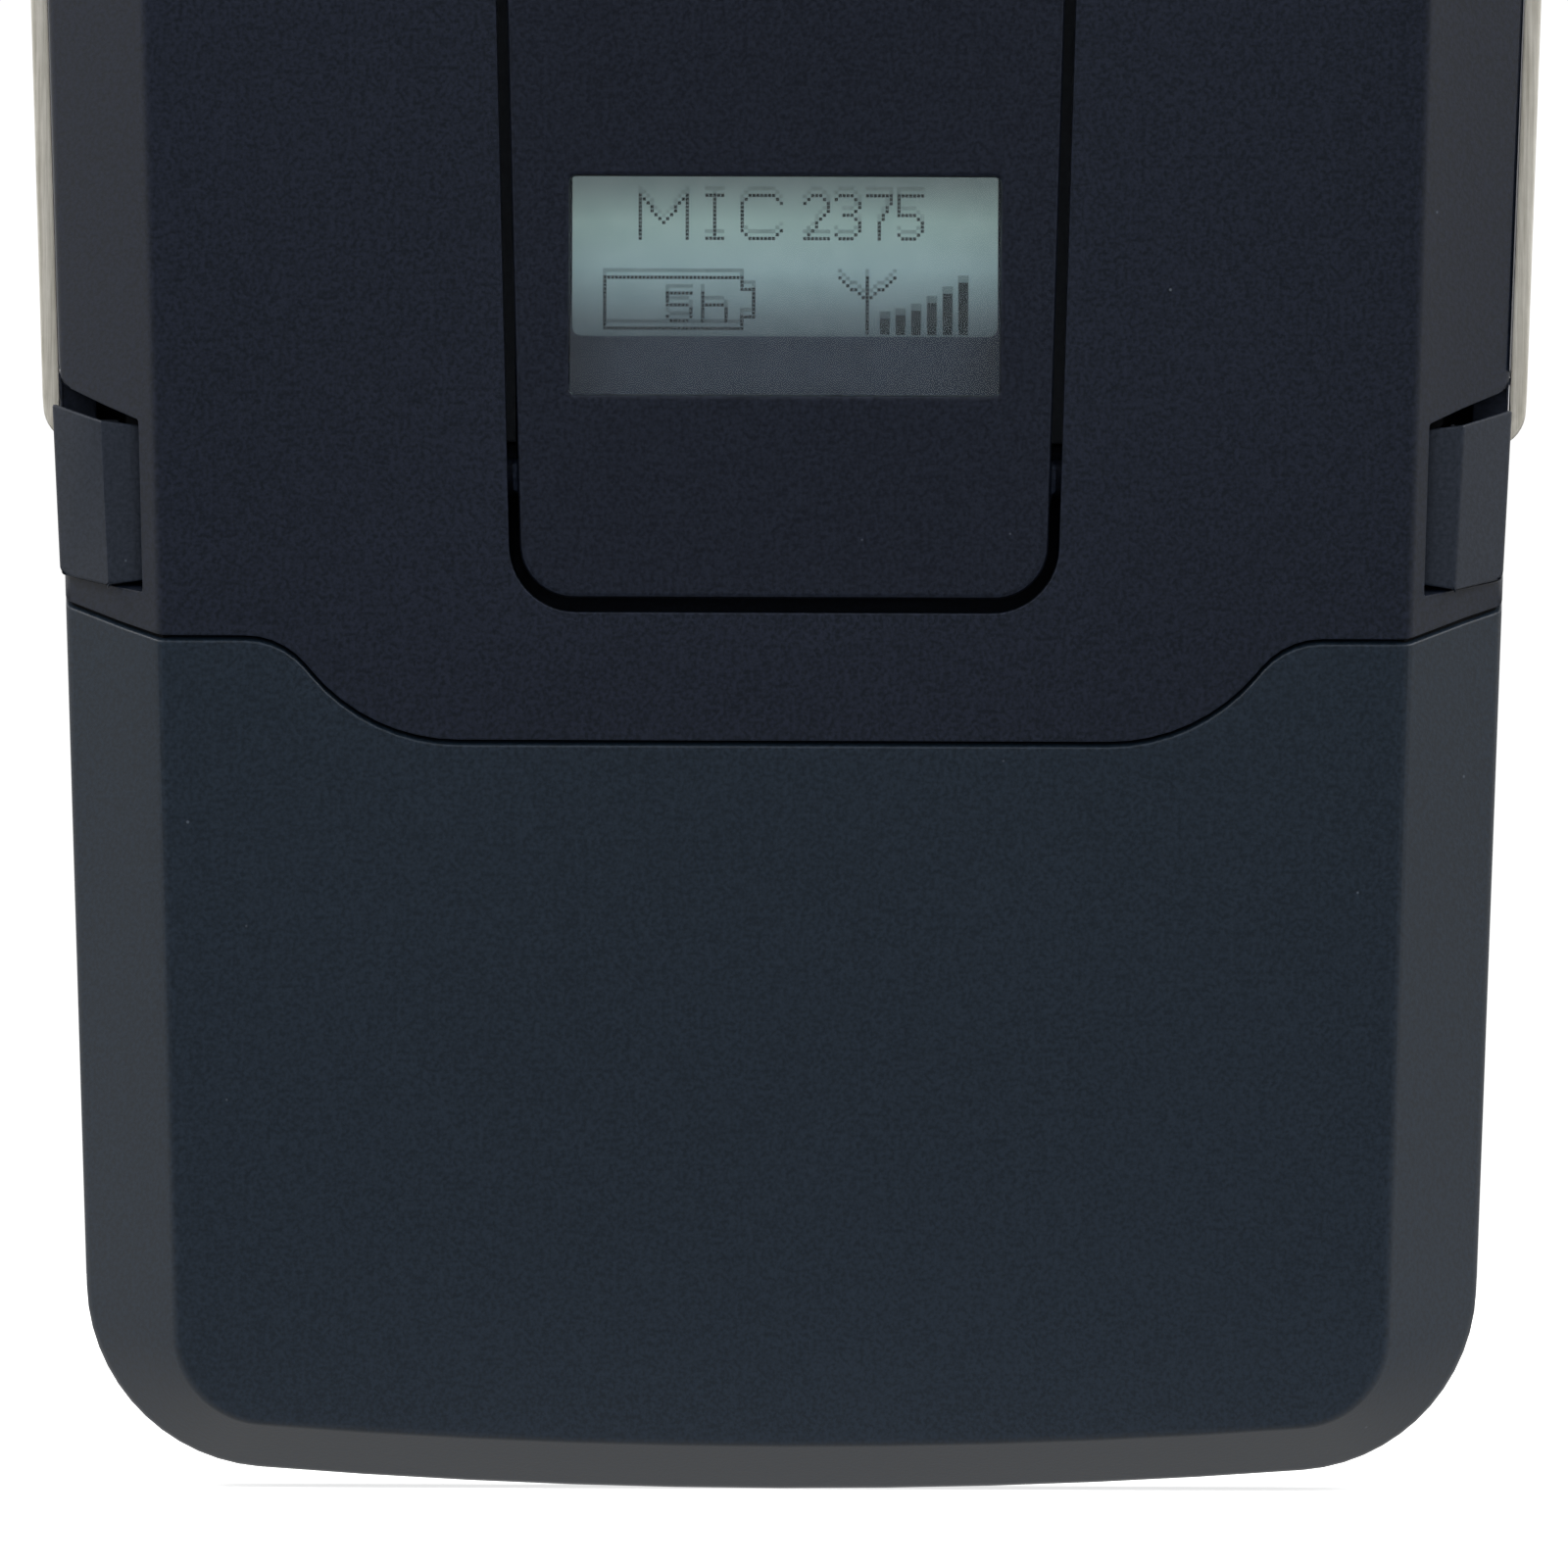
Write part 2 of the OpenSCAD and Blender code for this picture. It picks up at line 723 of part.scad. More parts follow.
module display_flap() {
  edge = flap_b + flap_k * hinge_z;
  ledge_depth = 0.9;
  color(shell_colour) to_origin() difference() {
    union() {
      plate(0, flap_t)
        polygon(outline(flap_b, flap_k, flap_z, flap_top, 2.25, 1.6, flat_crown));
      both_sides() {
        rod_x(edge - 1.5, edge - 0.15, hinge_y, hinge_z, 1.3);
        rod_x(edge - 0.3, axle_x, hinge_y, hinge_z, axle_r);
        box([edge - 0.2, 0.5, hinge_z - 0.6], [edge + 0.14, 1.25, hinge_z + 0.6]);
        box([9.6, flap_t - 0.1, 46.5], [10.5, 2, 82]);
      }
      box([-4, flap_t - 0.1, 81.8], [4, 2.6, 82.8]);
    }
    plate(-1, flap_t + 1) window_shape(0);
    plate(ledge_depth, flap_t + 1) window_shape(0.7);
  }
}
module flap_window() {
  color("#bcd0d8", 0.4) to_origin() union() {
    plate(0.12, 0.95) window_shape(-0.03);
    plate(0.93, flap_t) window_shape(0.64);
  }
}

// right-hand button: a cap of two facets that leans out to the top, cut off level with the window
// below and sloping in above, and a flange inside the wall
module release_button(proud) {
  cap_lean = 2.9;
  low_z = 38;
  back_y = catch_back_y - 0.2;
  out_x = side_x(low_z) + proud;
  ridge_x = out_x - 2;
  facet_y = 1.4;
  side_y = 3.6;
  bottom = catch_z + 0.06;
  top = catch_top - 0.1;
  union() {
    intersection() {
      bar(catch_inner_x, catch_outer_x) polygon([
        [catch_y, bottom], [catch_bend_y, bottom + 0.7], [back_y, bottom + 1.85],
        [back_y, 48], [catch_y, 48]
      ]);
      translate([0, 0, low_z]) rotate([0, cap_lean, 0]) translate([0, 0, -4])
        linear_extrude(14) polygon([
          [26.3, facet_y], [ridge_x, facet_y], [out_x, side_y], [out_x, back_y],
          [27.5, back_y], [27.5, 5], [26.4, 4.9], [25.6, side_y]
        ]);
      plate(0, 10) polygon(concat(
        [[catch_inner_x, top - 0.45], [catch_inner_x, bottom + 0.7]],
        [[ridge_x, bottom + 0.2], [ridge_x + 0.3, 36]],
        arc(out_x - 1.1, bottom + 1.3, 1.2, -90, -5, 6),
        [[31, top + 1], [ridge_x + 0.3, top + 0.1]]
      ));
    }
    box([27.5, 4.95, 40.3], [28.25, 9, 44.2]);
  }
}
module release_button_right() {
  color(bevel_colour) to_origin() release_button(catch_proud - catch_right_in);
}
module release_button_left() {
  color(bevel_colour) to_origin() mirror([1, 0, 0]) release_button(catch_proud);
}

// right half: a sheet bent round the back corner and cut to the outline of the arm and the back, a bend
// at the foot and the pivot pin; the bend lies just inside the sheet's faces
module clip_half() {
  foot_bend = 0.9;
  foot_tab = 0.15;
  foot_z = pivot_z + foot_bend + clip_t / 2;
  arm_z = foot_z + foot_bend / 2;
  arm_half = 2;
  crook_r = 4;
  crook_z = 64;
  back_low = 68.3;
  back_high = 87;
  wing_r = 3;
  middle = -clip_corner - side_b - 3;
  translate([side_x(foot_z) + clip_gap, 0, foot_z]) rotate([0, lean, 0])
    plate(pivot_y - arm_half + clip_inset, pivot_y + arm_half - clip_inset) polygon(concat(
      [[clip_inset, foot_bend], [clip_t - clip_inset, foot_bend]],
      arc(-foot_bend, 0, foot_bend + clip_t - clip_inset, 0, -90, 10),
      [[-foot_bend - foot_tab, clip_inset - foot_bend - clip_t]],
      [[-foot_bend - foot_tab, -foot_bend - clip_inset]],
      arc(-foot_bend, 0, foot_bend + clip_inset, -90, 0, 10)
    ));
  intersection() {
    translate([side_x(foot_z) + clip_gap, 0, foot_z]) rotate([0, lean, 0]) translate([0, 0, -far])
      linear_extrude(2 * far) polygon(concat(
        [[0, 0], [clip_t, 0]],
        arc(-clip_corner, clip_y - clip_corner, clip_corner + clip_t, 0, 90, 12),
        [[middle, clip_y + clip_t], [middle, clip_y]],
        arc(-clip_corner, clip_y - clip_corner, clip_corner, 90, 0, 12)
      ));
    bar(-far, far) polygon(concat(
      [[pivot_y - arm_half, arm_z], [pivot_y + arm_half, arm_z], [pivot_y + arm_half, crook_z]],
      arc(pivot_y + arm_half + crook_r, crook_z, crook_r, 180, 90, 6),
      [[clip_y - clip_corner - 0.4, back_low], [far, back_low], [far, back_high]],
      arc(pivot_y - arm_half + wing_r, back_high - wing_r, wing_r, 90, 180, 6)
    ));
  }
  rod_x(side_x(pivot_z) - 3.4, side_x(pivot_z) - 0.2, pivot_y, pivot_z, pivot_r);
}

module clip_tongue() {
  y = clip_y + clip_t / 2;
  path = concat(
    [[y, 86], [y, 60], [y, 56], [y - 0.3, 52.5], [body_d + 1.6, 22]],
    arc(body_d + 4.6, 20.6, 3.1, 175, 268, 8)
  );
  intersection() {
    bar(-tongue_w / 2, tongue_w / 2) polygon(strip(path, clip_t - 2 * clip_inset));
    plate(body_d, clip_y + 5) polygon(outline(tongue_w / 2, 0, 16.5, 90, 4, 1, flat_crown));
  }
}

module belt_clip() {
  color(steel_colour) to_origin() union() {
    both_sides() clip_half();
    clip_tongue();
  }
}

module pack_body() {
  difference() {
    intersection() {
      form(0);
      under_joint(0);
    }
    intersection() {
      form(wall);
      under_joint(-wall);
    }
    both_sides() arm_slot();
    for (x = contact_xs)
      box([x - 0.75, contact_y - 0.85, 33], [x + 0.75, contact_y + 0.85, 40]);
    box([-3.95, 13.1, -1], [3.95, 15.98, 3]);
    rod_z(-1, 4, charge_x, charge_y, charge_r + 0.04);
  }
}
module pack_front_shell() {
  color(shell_colour) to_origin() difference() {
    pack_body();
    box([-far, split_y, -1], [far, far, far]);
  }
}
module pack_rear_shell() {
  color(shell_colour) to_origin() difference() {
    pack_body();
    box([-far, -1, -1], [far, split_y + shell_gap, far]);
  }
}
module battery_cell() {
  color("#6f7f95") to_origin() translate([0, 9, 8]) linear_extrude(22) polygon(concat(
    arc(19.6, 1, 3.4, 0, 90, 8), arc(-19.6, 1, 3.4, 90, 180, 8),
    arc(-19.6, -1, 3.4, 180, 270, 8), arc(19.6, -1, 3.4, 270, 360, 8)
  ));
}
module cell_pad() {
  color("#3a3a3a") to_origin() box([-18, 1.6, 10], [18, 4.5, 28]);
}
module cell_tabs() {
  color("#b9bcc0") to_origin() both_sides() {
    box([8, 7, 30.05], [11, 15.95, 30.25]);
    box([8, 15.75, 30.05], [11, 15.95, 33]);
  }
}
module pack_board() {
  color(board_colour) to_origin() box([-20, 16, 3], [20, 16.8, 34]);
}
module pack_chips() {
  color(chip_colour) to_origin() {
    box([-14, 16.8, 18], [-9, 17.8, 23]);
    box([2, 16.8, 20], [6, 17.7, 24]);
    box([10, 16.8, 10], [13, 17.6, 12]);
  }
}
module pack_contacts() {
  color(brass_colour) to_origin() for (x = contact_xs)
    box([x - 0.7, contact_y - 0.8, 31], [x + 0.7, contact_y + 0.78, contact_z]);
}
module usb_socket() {
  color("#b9bcc0") to_origin() union() {
    difference() {
      box([-3.8, 13.2, 0.6], [3.8, 15.95, 6]);
      box([-3.5, 13.5, 0], [3.5, 15.65, 5.4]);
    }
    box([-2.9, 14.9, 1.4], [2.9, 15.4, 5.5]);
  }
}
module charge_lens() {
  color("#e6e2d0") to_origin() rod_z(0.3, 6, charge_x, charge_y, charge_r);
}

// right-hand arm: a root on the pack's wall, a springy blade and a hook over the housing's ledge
module latch_arm() {
  plate(arm_y[0], arm_y[1]) polygon([
    [arm_x[0], 27], [27.95, 27], [27.95, 31], [arm_x[1], 31.8], [arm_x[1], hook_z[0]],
    [hook_x, hook_z[0]], [hook_x, hook_z[0] + 0.4], [arm_x[1], hook_z[1]], [arm_x[0], hook_z[1]]
  ]);
}
module latch_arm_right() {
  color(bevel_colour) to_origin() latch_arm();
}
module latch_arm_left() {
  color(bevel_colour) to_origin() mirror([1, 0, 0]) latch_arm();
}

front_shell();
rear_shell();
control_plate();
lcd_frame();
lcd_glass();
lcd_backlight();
lcd_ribbon();
button_board();
tact_switches();
main_board();
board_chips();
rf_shield();
antenna();
contact_block();
contact_pins();
jack_bush();
jack_nut();
jack_socket();
jack_contacts();
mute_switch();
status_lens();
board_screws();
housing_screws();
display_flap();
flap_window();
power_button();
set_button();
pair_button();
mute_slider();
release_button_left();
release_button_right();
belt_clip();
pack_front_shell();
pack_rear_shell();
battery_cell();
cell_pad();
cell_tabs();
pack_board();
pack_chips();
pack_contacts();
usb_socket();
charge_lens();
latch_arm_left();
latch_arm_right();
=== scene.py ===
# Bodypack transmitter: finishes, rounded lips, screen picture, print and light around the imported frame.
import json
import math

import bmesh
import bpy
import numpy as np
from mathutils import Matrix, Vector

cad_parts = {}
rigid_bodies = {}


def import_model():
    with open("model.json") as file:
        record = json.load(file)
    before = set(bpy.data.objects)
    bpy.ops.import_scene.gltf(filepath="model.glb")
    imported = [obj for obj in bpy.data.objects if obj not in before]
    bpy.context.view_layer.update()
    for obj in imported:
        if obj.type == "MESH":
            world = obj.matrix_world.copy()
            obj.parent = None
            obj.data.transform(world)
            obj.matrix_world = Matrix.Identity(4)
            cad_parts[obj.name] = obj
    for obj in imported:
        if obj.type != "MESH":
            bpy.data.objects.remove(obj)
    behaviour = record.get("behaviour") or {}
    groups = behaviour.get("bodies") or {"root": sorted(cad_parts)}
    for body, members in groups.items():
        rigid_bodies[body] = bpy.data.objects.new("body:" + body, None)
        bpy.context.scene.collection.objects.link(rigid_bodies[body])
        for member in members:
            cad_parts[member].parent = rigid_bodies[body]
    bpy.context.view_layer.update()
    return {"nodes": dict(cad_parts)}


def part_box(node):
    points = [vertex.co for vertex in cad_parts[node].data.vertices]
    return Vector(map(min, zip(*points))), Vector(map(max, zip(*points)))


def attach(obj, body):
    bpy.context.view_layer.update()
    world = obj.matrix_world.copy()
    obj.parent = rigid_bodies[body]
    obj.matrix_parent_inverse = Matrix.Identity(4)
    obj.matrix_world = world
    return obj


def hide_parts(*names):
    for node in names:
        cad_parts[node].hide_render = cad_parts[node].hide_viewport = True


for thing in list(bpy.data.objects):
    bpy.data.objects.remove(thing)
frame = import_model()
nodes = frame["nodes"]
mm = 0.001
print("frame loaded:", len(nodes), "nodes")


# four corner numbers for every cell of a grid of rows by columns, joined round where it closes
def gridFaces(rows, columns, closeRows=False, closeColumns=False):
    row = np.arange(rows if closeRows else rows - 1)[:, None]
    column = np.arange(columns if closeColumns else columns - 1)[None, :]
    nextRow, nextColumn = (row + 1) % rows, (column + 1) % columns
    corners = np.broadcast_arrays(
        row * columns + column, row * columns + nextColumn,
        nextRow * columns + nextColumn, nextRow * columns + column,
    )
    return np.stack(corners, axis=-1).reshape(-1, 4)


# a shown mesh from points (n, 3) and faces; edges sharper than the angle stay crisp
def addPiece(name, points, faces, sharpAngle=35):
    mesh = bpy.data.meshes.new(name)
    mesh.from_pydata(np.asarray(points).tolist(), [], [list(face) for face in faces])
    return showMesh(name, mesh, sharpAngle)


def showMesh(name, mesh, sharpAngle):
    mesh.update()
    mesh.shade_smooth()
    mesh.set_sharp_from_angle(angle=math.radians(sharpAngle))
    piece = bpy.data.objects.new(name, mesh)
    bpy.context.scene.collection.objects.link(piece)
    return piece


# puts a piece on its body and gives it a finish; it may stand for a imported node
def dress(piece, material, body, replaced=None):
    piece.data.materials.clear()
    piece.data.materials.append(material)
    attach(piece, body)
    if replaced:
        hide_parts(replaced)
    return piece


rounding = {
    "weld": 0.035 * mm,      # corners closer than this are joined before the edges are rounded
    "tidy": 0.002 * mm,      # and closer than this afterwards
    "cutReach": 0.001 * mm,
    "segments": 2,
    "sharpAngle": 42,        # an edge turned by more than this is rounded
    "flatAngle": 0.4,        # triangles turned by less are one flat face
    "shadeAngle": 38,
    "evenness": 80,          # how far the broad faces rule the shading next to them
}


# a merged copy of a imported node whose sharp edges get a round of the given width; upright planes at the
# x of each cut give broad faces corners to be joined at
def roundedCopy(name, node, width, cuts=(), miter="ARC"):
    mesh = nodes[node].data.copy()
    for layer in [a.name for a in mesh.attributes if a.name.startswith("custom_normal")]:
        mesh.attributes.remove(mesh.attributes[layer])
    work = bmesh.new()
    work.from_mesh(mesh)
    for x in cuts:
        bmesh.ops.bisect_plane(
            work, geom=work.verts[:] + work.edges[:] + work.faces[:], dist=rounding["cutReach"],
            plane_co=(x, 0, 0), plane_no=(1, 0, 0),
        )
    bmesh.ops.remove_doubles(work, verts=work.verts, dist=rounding["weld"])
    bmesh.ops.dissolve_limit(
        work, angle_limit=math.radians(rounding["flatAngle"]), verts=work.verts, edges=work.edges
    )
    sharp = [
        edge for edge in work.edges
        if len(edge.link_faces) == 2 and edge.calc_face_angle() > math.radians(rounding["sharpAngle"])
    ]
    bmesh.ops.bevel(
        work, geom=sharp, offset=width, offset_type="OFFSET", segments=rounding["segments"], profile=0.5,
        affect="EDGES", clamp_overlap=False, miter_outer=miter, loop_slide=True,
    )
    bmesh.ops.remove_doubles(work, verts=work.verts, dist=rounding["tidy"])
    work.to_mesh(mesh)
    work.free()
    piece = showMesh(name, mesh, rounding["shadeAngle"])
    even = piece.modifiers.new("evenNormals", "WEIGHTED_NORMAL")
    even.mode = "FACE_AREA"
    even.weight = rounding["evenness"]
    even.keep_sharp = True
    return piece


# flat-sided blocks between low corners (n, 3) and high corners (n, 3), as points and outward faces
def blocks(low, high):
    pick = np.array([[x, y, z] for x in (0, 1) for y in (0, 1) for z in (0, 1)])
    points = low[:, None, :] + pick[None] * (high - low)[:, None, :]
    sides = np.array([
        [0, 1, 3, 2], [4, 6, 7, 5], [0, 4, 5, 1], [2, 3, 7, 6], [0, 2, 6, 4], [1, 5, 7, 3]
    ])
    faces = sides[None] + 8 * np.arange(len(low))[:, None, None]
    return points.reshape(-1, 3), faces.reshape(-1, 4)


# an sRGB hex colour as linear red, green, blue and alpha
def linear(colour):
    channels = [int(colour[i:i + 2], 16) / 255 for i in (1, 3, 5)]
    return [c / 12.92 if c <= 0.04045 else ((c + 0.055) / 1.055) ** 2.4 for c in channels] + [1]


# adds a node: an input given as a socket is linked and any other is set, stops fill a colour ramp
def addNode(tree, kind, inputs, stops=(), **settings):
    node = tree.nodes.new(kind)
    for name, value in settings.items():
        setattr(node, name, value)
    for name, value in inputs.items():
        if isinstance(value, bpy.types.NodeSocket):
            tree.links.new(value, node.inputs[name])
        else:
            node.inputs[name].default_value = value
    for index, (position, colour) in enumerate(stops):
        ramp = node.color_ramp.elements
        stop = ramp[index] if index < 2 else ramp.new(position)
        stop.position = position
        stop.color = linear(colour)
    return node


# a material with its surface values set, its node tree and its shader
def newMaterial(name, **surface):
    material = bpy.data.materials.new(name)
    material.use_nodes = True
    tree = material.node_tree
    shader = tree.nodes["Principled BSDF"]
    for socket, value in surface.items():
        shader.inputs[socket.replace("_", " ")].default_value = value
    return material, tree, shader


# Satin two-part paint over moulded ABS: sprayed, so it has a fine even grit, a slow unevenness of
# tone and a few specks of dust that stand out paler.
def satinPaint(name, dark, pale):
    paint = {
        "grit": 0.18 * mm,       # the real grit is about half of this, too fine to show
        "relief": 0.011 * mm,
        "cloud": 20 * mm,
        "cloudShare": 0.12,      # strength of the slow unevenness beside the grit
        "speckSpacing": 3.2 * mm,
        "speckRadius": 0.012,    # share of the spacing
        "speckFade": 2.2,        # a speck has faded out at so many times its radius
        "speckCover": 0.55,
        "speckTone": "#5c6470",
        "roughness": (0.38, 0.5),
    }
    material, tree, shader = newMaterial(name, IOR=1.5, Specular_IOR_Level=0.45)
    place = addNode(tree, "ShaderNodeTexCoord", {}).outputs["Object"]
    grit = addNode(tree, "ShaderNodeTexNoise", {
        "Vector": place, "Scale": 1 / paint["grit"], "Detail": 2.0, "Roughness": 0.6,
    })
    cloud = addNode(tree, "ShaderNodeTexNoise", {
        "Vector": place, "Scale": 1 / paint["cloud"], "Detail": 3.0,
    })
    both = addNode(tree, "ShaderNodeMath", {
        0: cloud.outputs["Fac"], 1: paint["cloudShare"], 2: grit.outputs["Fac"],
    }, operation="MULTIPLY_ADD")
    tone = addNode(tree, "ShaderNodeValToRGB", {"Fac": both.outputs[0]}, [(0.42, dark), (0.7, pale)])
    dust = addNode(tree, "ShaderNodeTexVoronoi", {
        "Vector": place, "Scale": 1 / paint["speckSpacing"], "Randomness": 1.0,
    })
    speck = addNode(tree, "ShaderNodeMapRange", {
        "Value": dust.outputs["Distance"], "From Min": paint["speckRadius"],
        "From Max": paint["speckRadius"] * paint["speckFade"], "To Min": paint["speckCover"], "To Max": 0.0,
    })
    colour = addNode(tree, "ShaderNodeMix", {
        0: speck.outputs["Result"], 6: tone.outputs["Color"], 7: linear(paint["speckTone"]),
    }, data_type="RGBA")
    gloss = addNode(tree, "ShaderNodeMapRange", {
        "Value": grit.outputs["Fac"], "To Min": paint["roughness"][0], "To Max": paint["roughness"][1],
    })
    relief = addNode(tree, "ShaderNodeBump", {
        "Height": grit.outputs["Fac"], "Distance": paint["relief"], "Strength": 0.55,
    })
    tree.links.new(colour.outputs[2], shader.inputs["Base Color"])
    tree.links.new(gloss.outputs["Result"], shader.inputs["Roughness"])
    tree.links.new(relief.outputs["Normal"], shader.inputs["Normal"])
    return material


# Moulded thermoplastic, spark-eroded tool: an even fine texture, a little lighter on its peaks.
def mouldedPlastic(name, dark, pale, grain=0.2 * mm, relief=0.006 * mm, roughness=0.5, shine=0.5):
    material, tree, shader = newMaterial(name, IOR=1.5, Roughness=roughness, Specular_IOR_Level=shine)
    place = addNode(tree, "ShaderNodeTexCoord", {}).outputs["Object"]
    grainNoise = addNode(tree, "ShaderNodeTexNoise", {
        "Vector": place, "Scale": 1 / grain, "Detail": 3.0, "Roughness": 0.55,
    })
    tone = addNode(
        tree, "ShaderNodeValToRGB", {"Fac": grainNoise.outputs["Fac"]}, [(0.3, dark), (0.7, pale)]
    )
    bump = addNode(tree, "ShaderNodeBump", {
        "Height": grainNoise.outputs["Fac"], "Distance": relief, "Strength": 0.6,
    })
    tree.links.new(tone.outputs["Color"], shader.inputs["Base Color"])
    tree.links.new(bump.outputs["Normal"], shader.inputs["Normal"])
    return material


# Metal with drawn lines along one axis: brushed or rolled, brighter and smoother on the crests.
def linedMetal(
    name, dark, pale, spacing, axis, roughness=(0.3, 0.5), relief=0.004 * mm, wear=0.0, metallic=1.0
):
    material, tree, shader = newMaterial(name, Metallic=metallic)
    place = addNode(tree, "ShaderNodeTexCoord", {}).outputs["Object"]
    stretch = [1 / spacing] * 3
    stretch[axis] = 0.03 / spacing
    lined = addNode(tree, "ShaderNodeMapping", {"Vector": place, "Scale": stretch})
    lines = addNode(tree, "ShaderNodeTexNoise", {
        "Vector": lined.outputs["Vector"], "Scale": 1.0, "Detail": 4.0, "Roughness": 0.7,
    })
    rubbed = addNode(tree, "ShaderNodeTexNoise", {
        "Vector": place, "Scale": 1 / (2.5 * mm), "Detail": 5.0, "Roughness": 0.65,
    })
    worn = addNode(tree, "ShaderNodeMath", {
        0: rubbed.outputs["Fac"], 1: wear, 2: lines.outputs["Fac"],
    }, operation="MULTIPLY_ADD")
    tone = addNode(tree, "ShaderNodeValToRGB", {"Fac": worn.outputs[0]}, [
        (0.32 + wear * 0.4, dark), (0.66 + wear * 0.6, pale),
    ])
    gloss = addNode(tree, "ShaderNodeMapRange", {
        "Value": worn.outputs[0], "From Min": 0.3 + wear * 0.3, "From Max": 0.7 + wear * 0.7,
        "To Min": roughness[1], "To Max": roughness[0],
    })
    bump = addNode(tree, "ShaderNodeBump", {
        "Height": lines.outputs["Fac"], "Distance": relief, "Strength": 0.5,
    })
    tree.links.new(tone.outputs["Color"], shader.inputs["Base Color"])
    tree.links.new(gloss.outputs["Result"], shader.inputs["Roughness"])
    tree.links.new(bump.outputs["Normal"], shader.inputs["Normal"])
    return material


# Clear acrylic with an anti-reflection coat, cast and polished: colourless, mirrors little, with a faint
# haze of fine wiping marks.
def clearAcrylic(name):
    material, tree, shader = newMaterial(name, IOR=1.18, Transmission_Weight=1.0)
    place = addNode(tree, "ShaderNodeTexCoord", {}).outputs["Object"]
    haze = addNode(tree, "ShaderNodeTexNoise", {"Vector": place, "Scale": 1 / (1.2 * mm), "Detail": 4.0})
    tint = addNode(
        tree, "ShaderNodeValToRGB", {"Fac": haze.outputs["Fac"]}, [(0.3, "#eef3f3"), (0.7, "#fafcfc")]
    )
    gloss = addNode(tree, "ShaderNodeMapRange", {
        "Value": haze.outputs["Fac"], "To Min": 0.02, "To Max": 0.08,
    })
    tree.links.new(tint.outputs["Color"], shader.inputs["Base Color"])
    tree.links.new(gloss.outputs["Result"], shader.inputs["Roughness"])
    return material


# Liquid crystal cell behind a matte polariser: grey-green with a fine even sparkle. Painted shade makes it
# darker and bluer towards its lower edge and a little darker at its top, and a painted glow in its own
# colour lifts it all.
def screenWithPaintedShade(name, lowZ, highZ):
    material, tree, shader = newMaterial(
        name, IOR=1.5, Roughness=0.38, Specular_IOR_Level=0.05, Emission_Strength=0.6
    )
    place = addNode(tree, "ShaderNodeTexCoord", {}).outputs["Object"]
    sparkle = addNode(tree, "ShaderNodeTexNoise", {
        "Vector": place, "Scale": 1 / (0.14 * mm), "Detail": 2.0,
    })
    height = addNode(tree, "ShaderNodeSeparateXYZ", {"Vector": place})
    share = addNode(tree, "ShaderNodeMapRange", {
        "Value": height.outputs["Z"], "From Min": lowZ, "From Max": highZ,
    })
    sparkleAndShade = addNode(tree, "ShaderNodeMath", {
        0: sparkle.outputs["Fac"], 1: 0.05, 2: share.outputs["Result"],
    }, operation="MULTIPLY_ADD")
    # painted shade: the colour follows height, darkest at the screen's foot and a little darker at its top
    tone = addNode(tree, "ShaderNodeValToRGB", {"Fac": sparkleAndShade.outputs[0]}, [
        (0.0, "#414c52"), (1.0, "#6f7d7e"), (0.15, "#515d63"), (0.45, "#778b8f"), (0.75, "#849997"),
    ])
    tree.links.new(tone.outputs["Color"], shader.inputs["Base Color"])
    # painted glow: the screen gives out its own colour, standing in for light that the window and recess
    # keep from it
    tree.links.new(tone.outputs["Color"], shader.inputs["Emission Color"])
    return material


# Ink, liquid crystal or a painted shadow seen as a thin even film that lets some of what is under it
# through.
def thinFilm(name, dark, pale, cover):
    material, tree, shader = newMaterial(name, IOR=1.45, Roughness=0.5, Alpha=cover, Specular_IOR_Level=0.1)
    place = addNode(tree, "ShaderNodeTexCoord", {}).outputs["Object"]
    body = addNode(tree, "ShaderNodeTexNoise", {"Vector": place, "Scale": 1 / (0.3 * mm), "Detail": 2.0})
    tone = addNode(tree, "ShaderNodeValToRGB", {"Fac": body.outputs["Fac"]}, [(0.35, dark), (0.65, pale)])
    tree.links.new(tone.outputs["Color"], shader.inputs["Base Color"])
    return material


# Circuit board: woven glass laminate under green solder mask; the weave shows through as a faint check.
def solderMask(name):
    material, tree, shader = newMaterial(name, IOR=1.52, Roughness=0.32)
    place = addNode(tree, "ShaderNodeTexCoord", {}).outputs["Object"]
    weave = addNode(tree, "ShaderNodeTexBrick", {
        "Vector": place, "Scale": 1 / (1.4 * mm), "Color1": linear("#14522f"), "Color2": linear("#17592f"),
        "Mortar": linear("#0f4527"), "Mortar Size": 0.04,
    })
    tree.links.new(weave.outputs["Color"], shader.inputs["Base Color"])
    return material


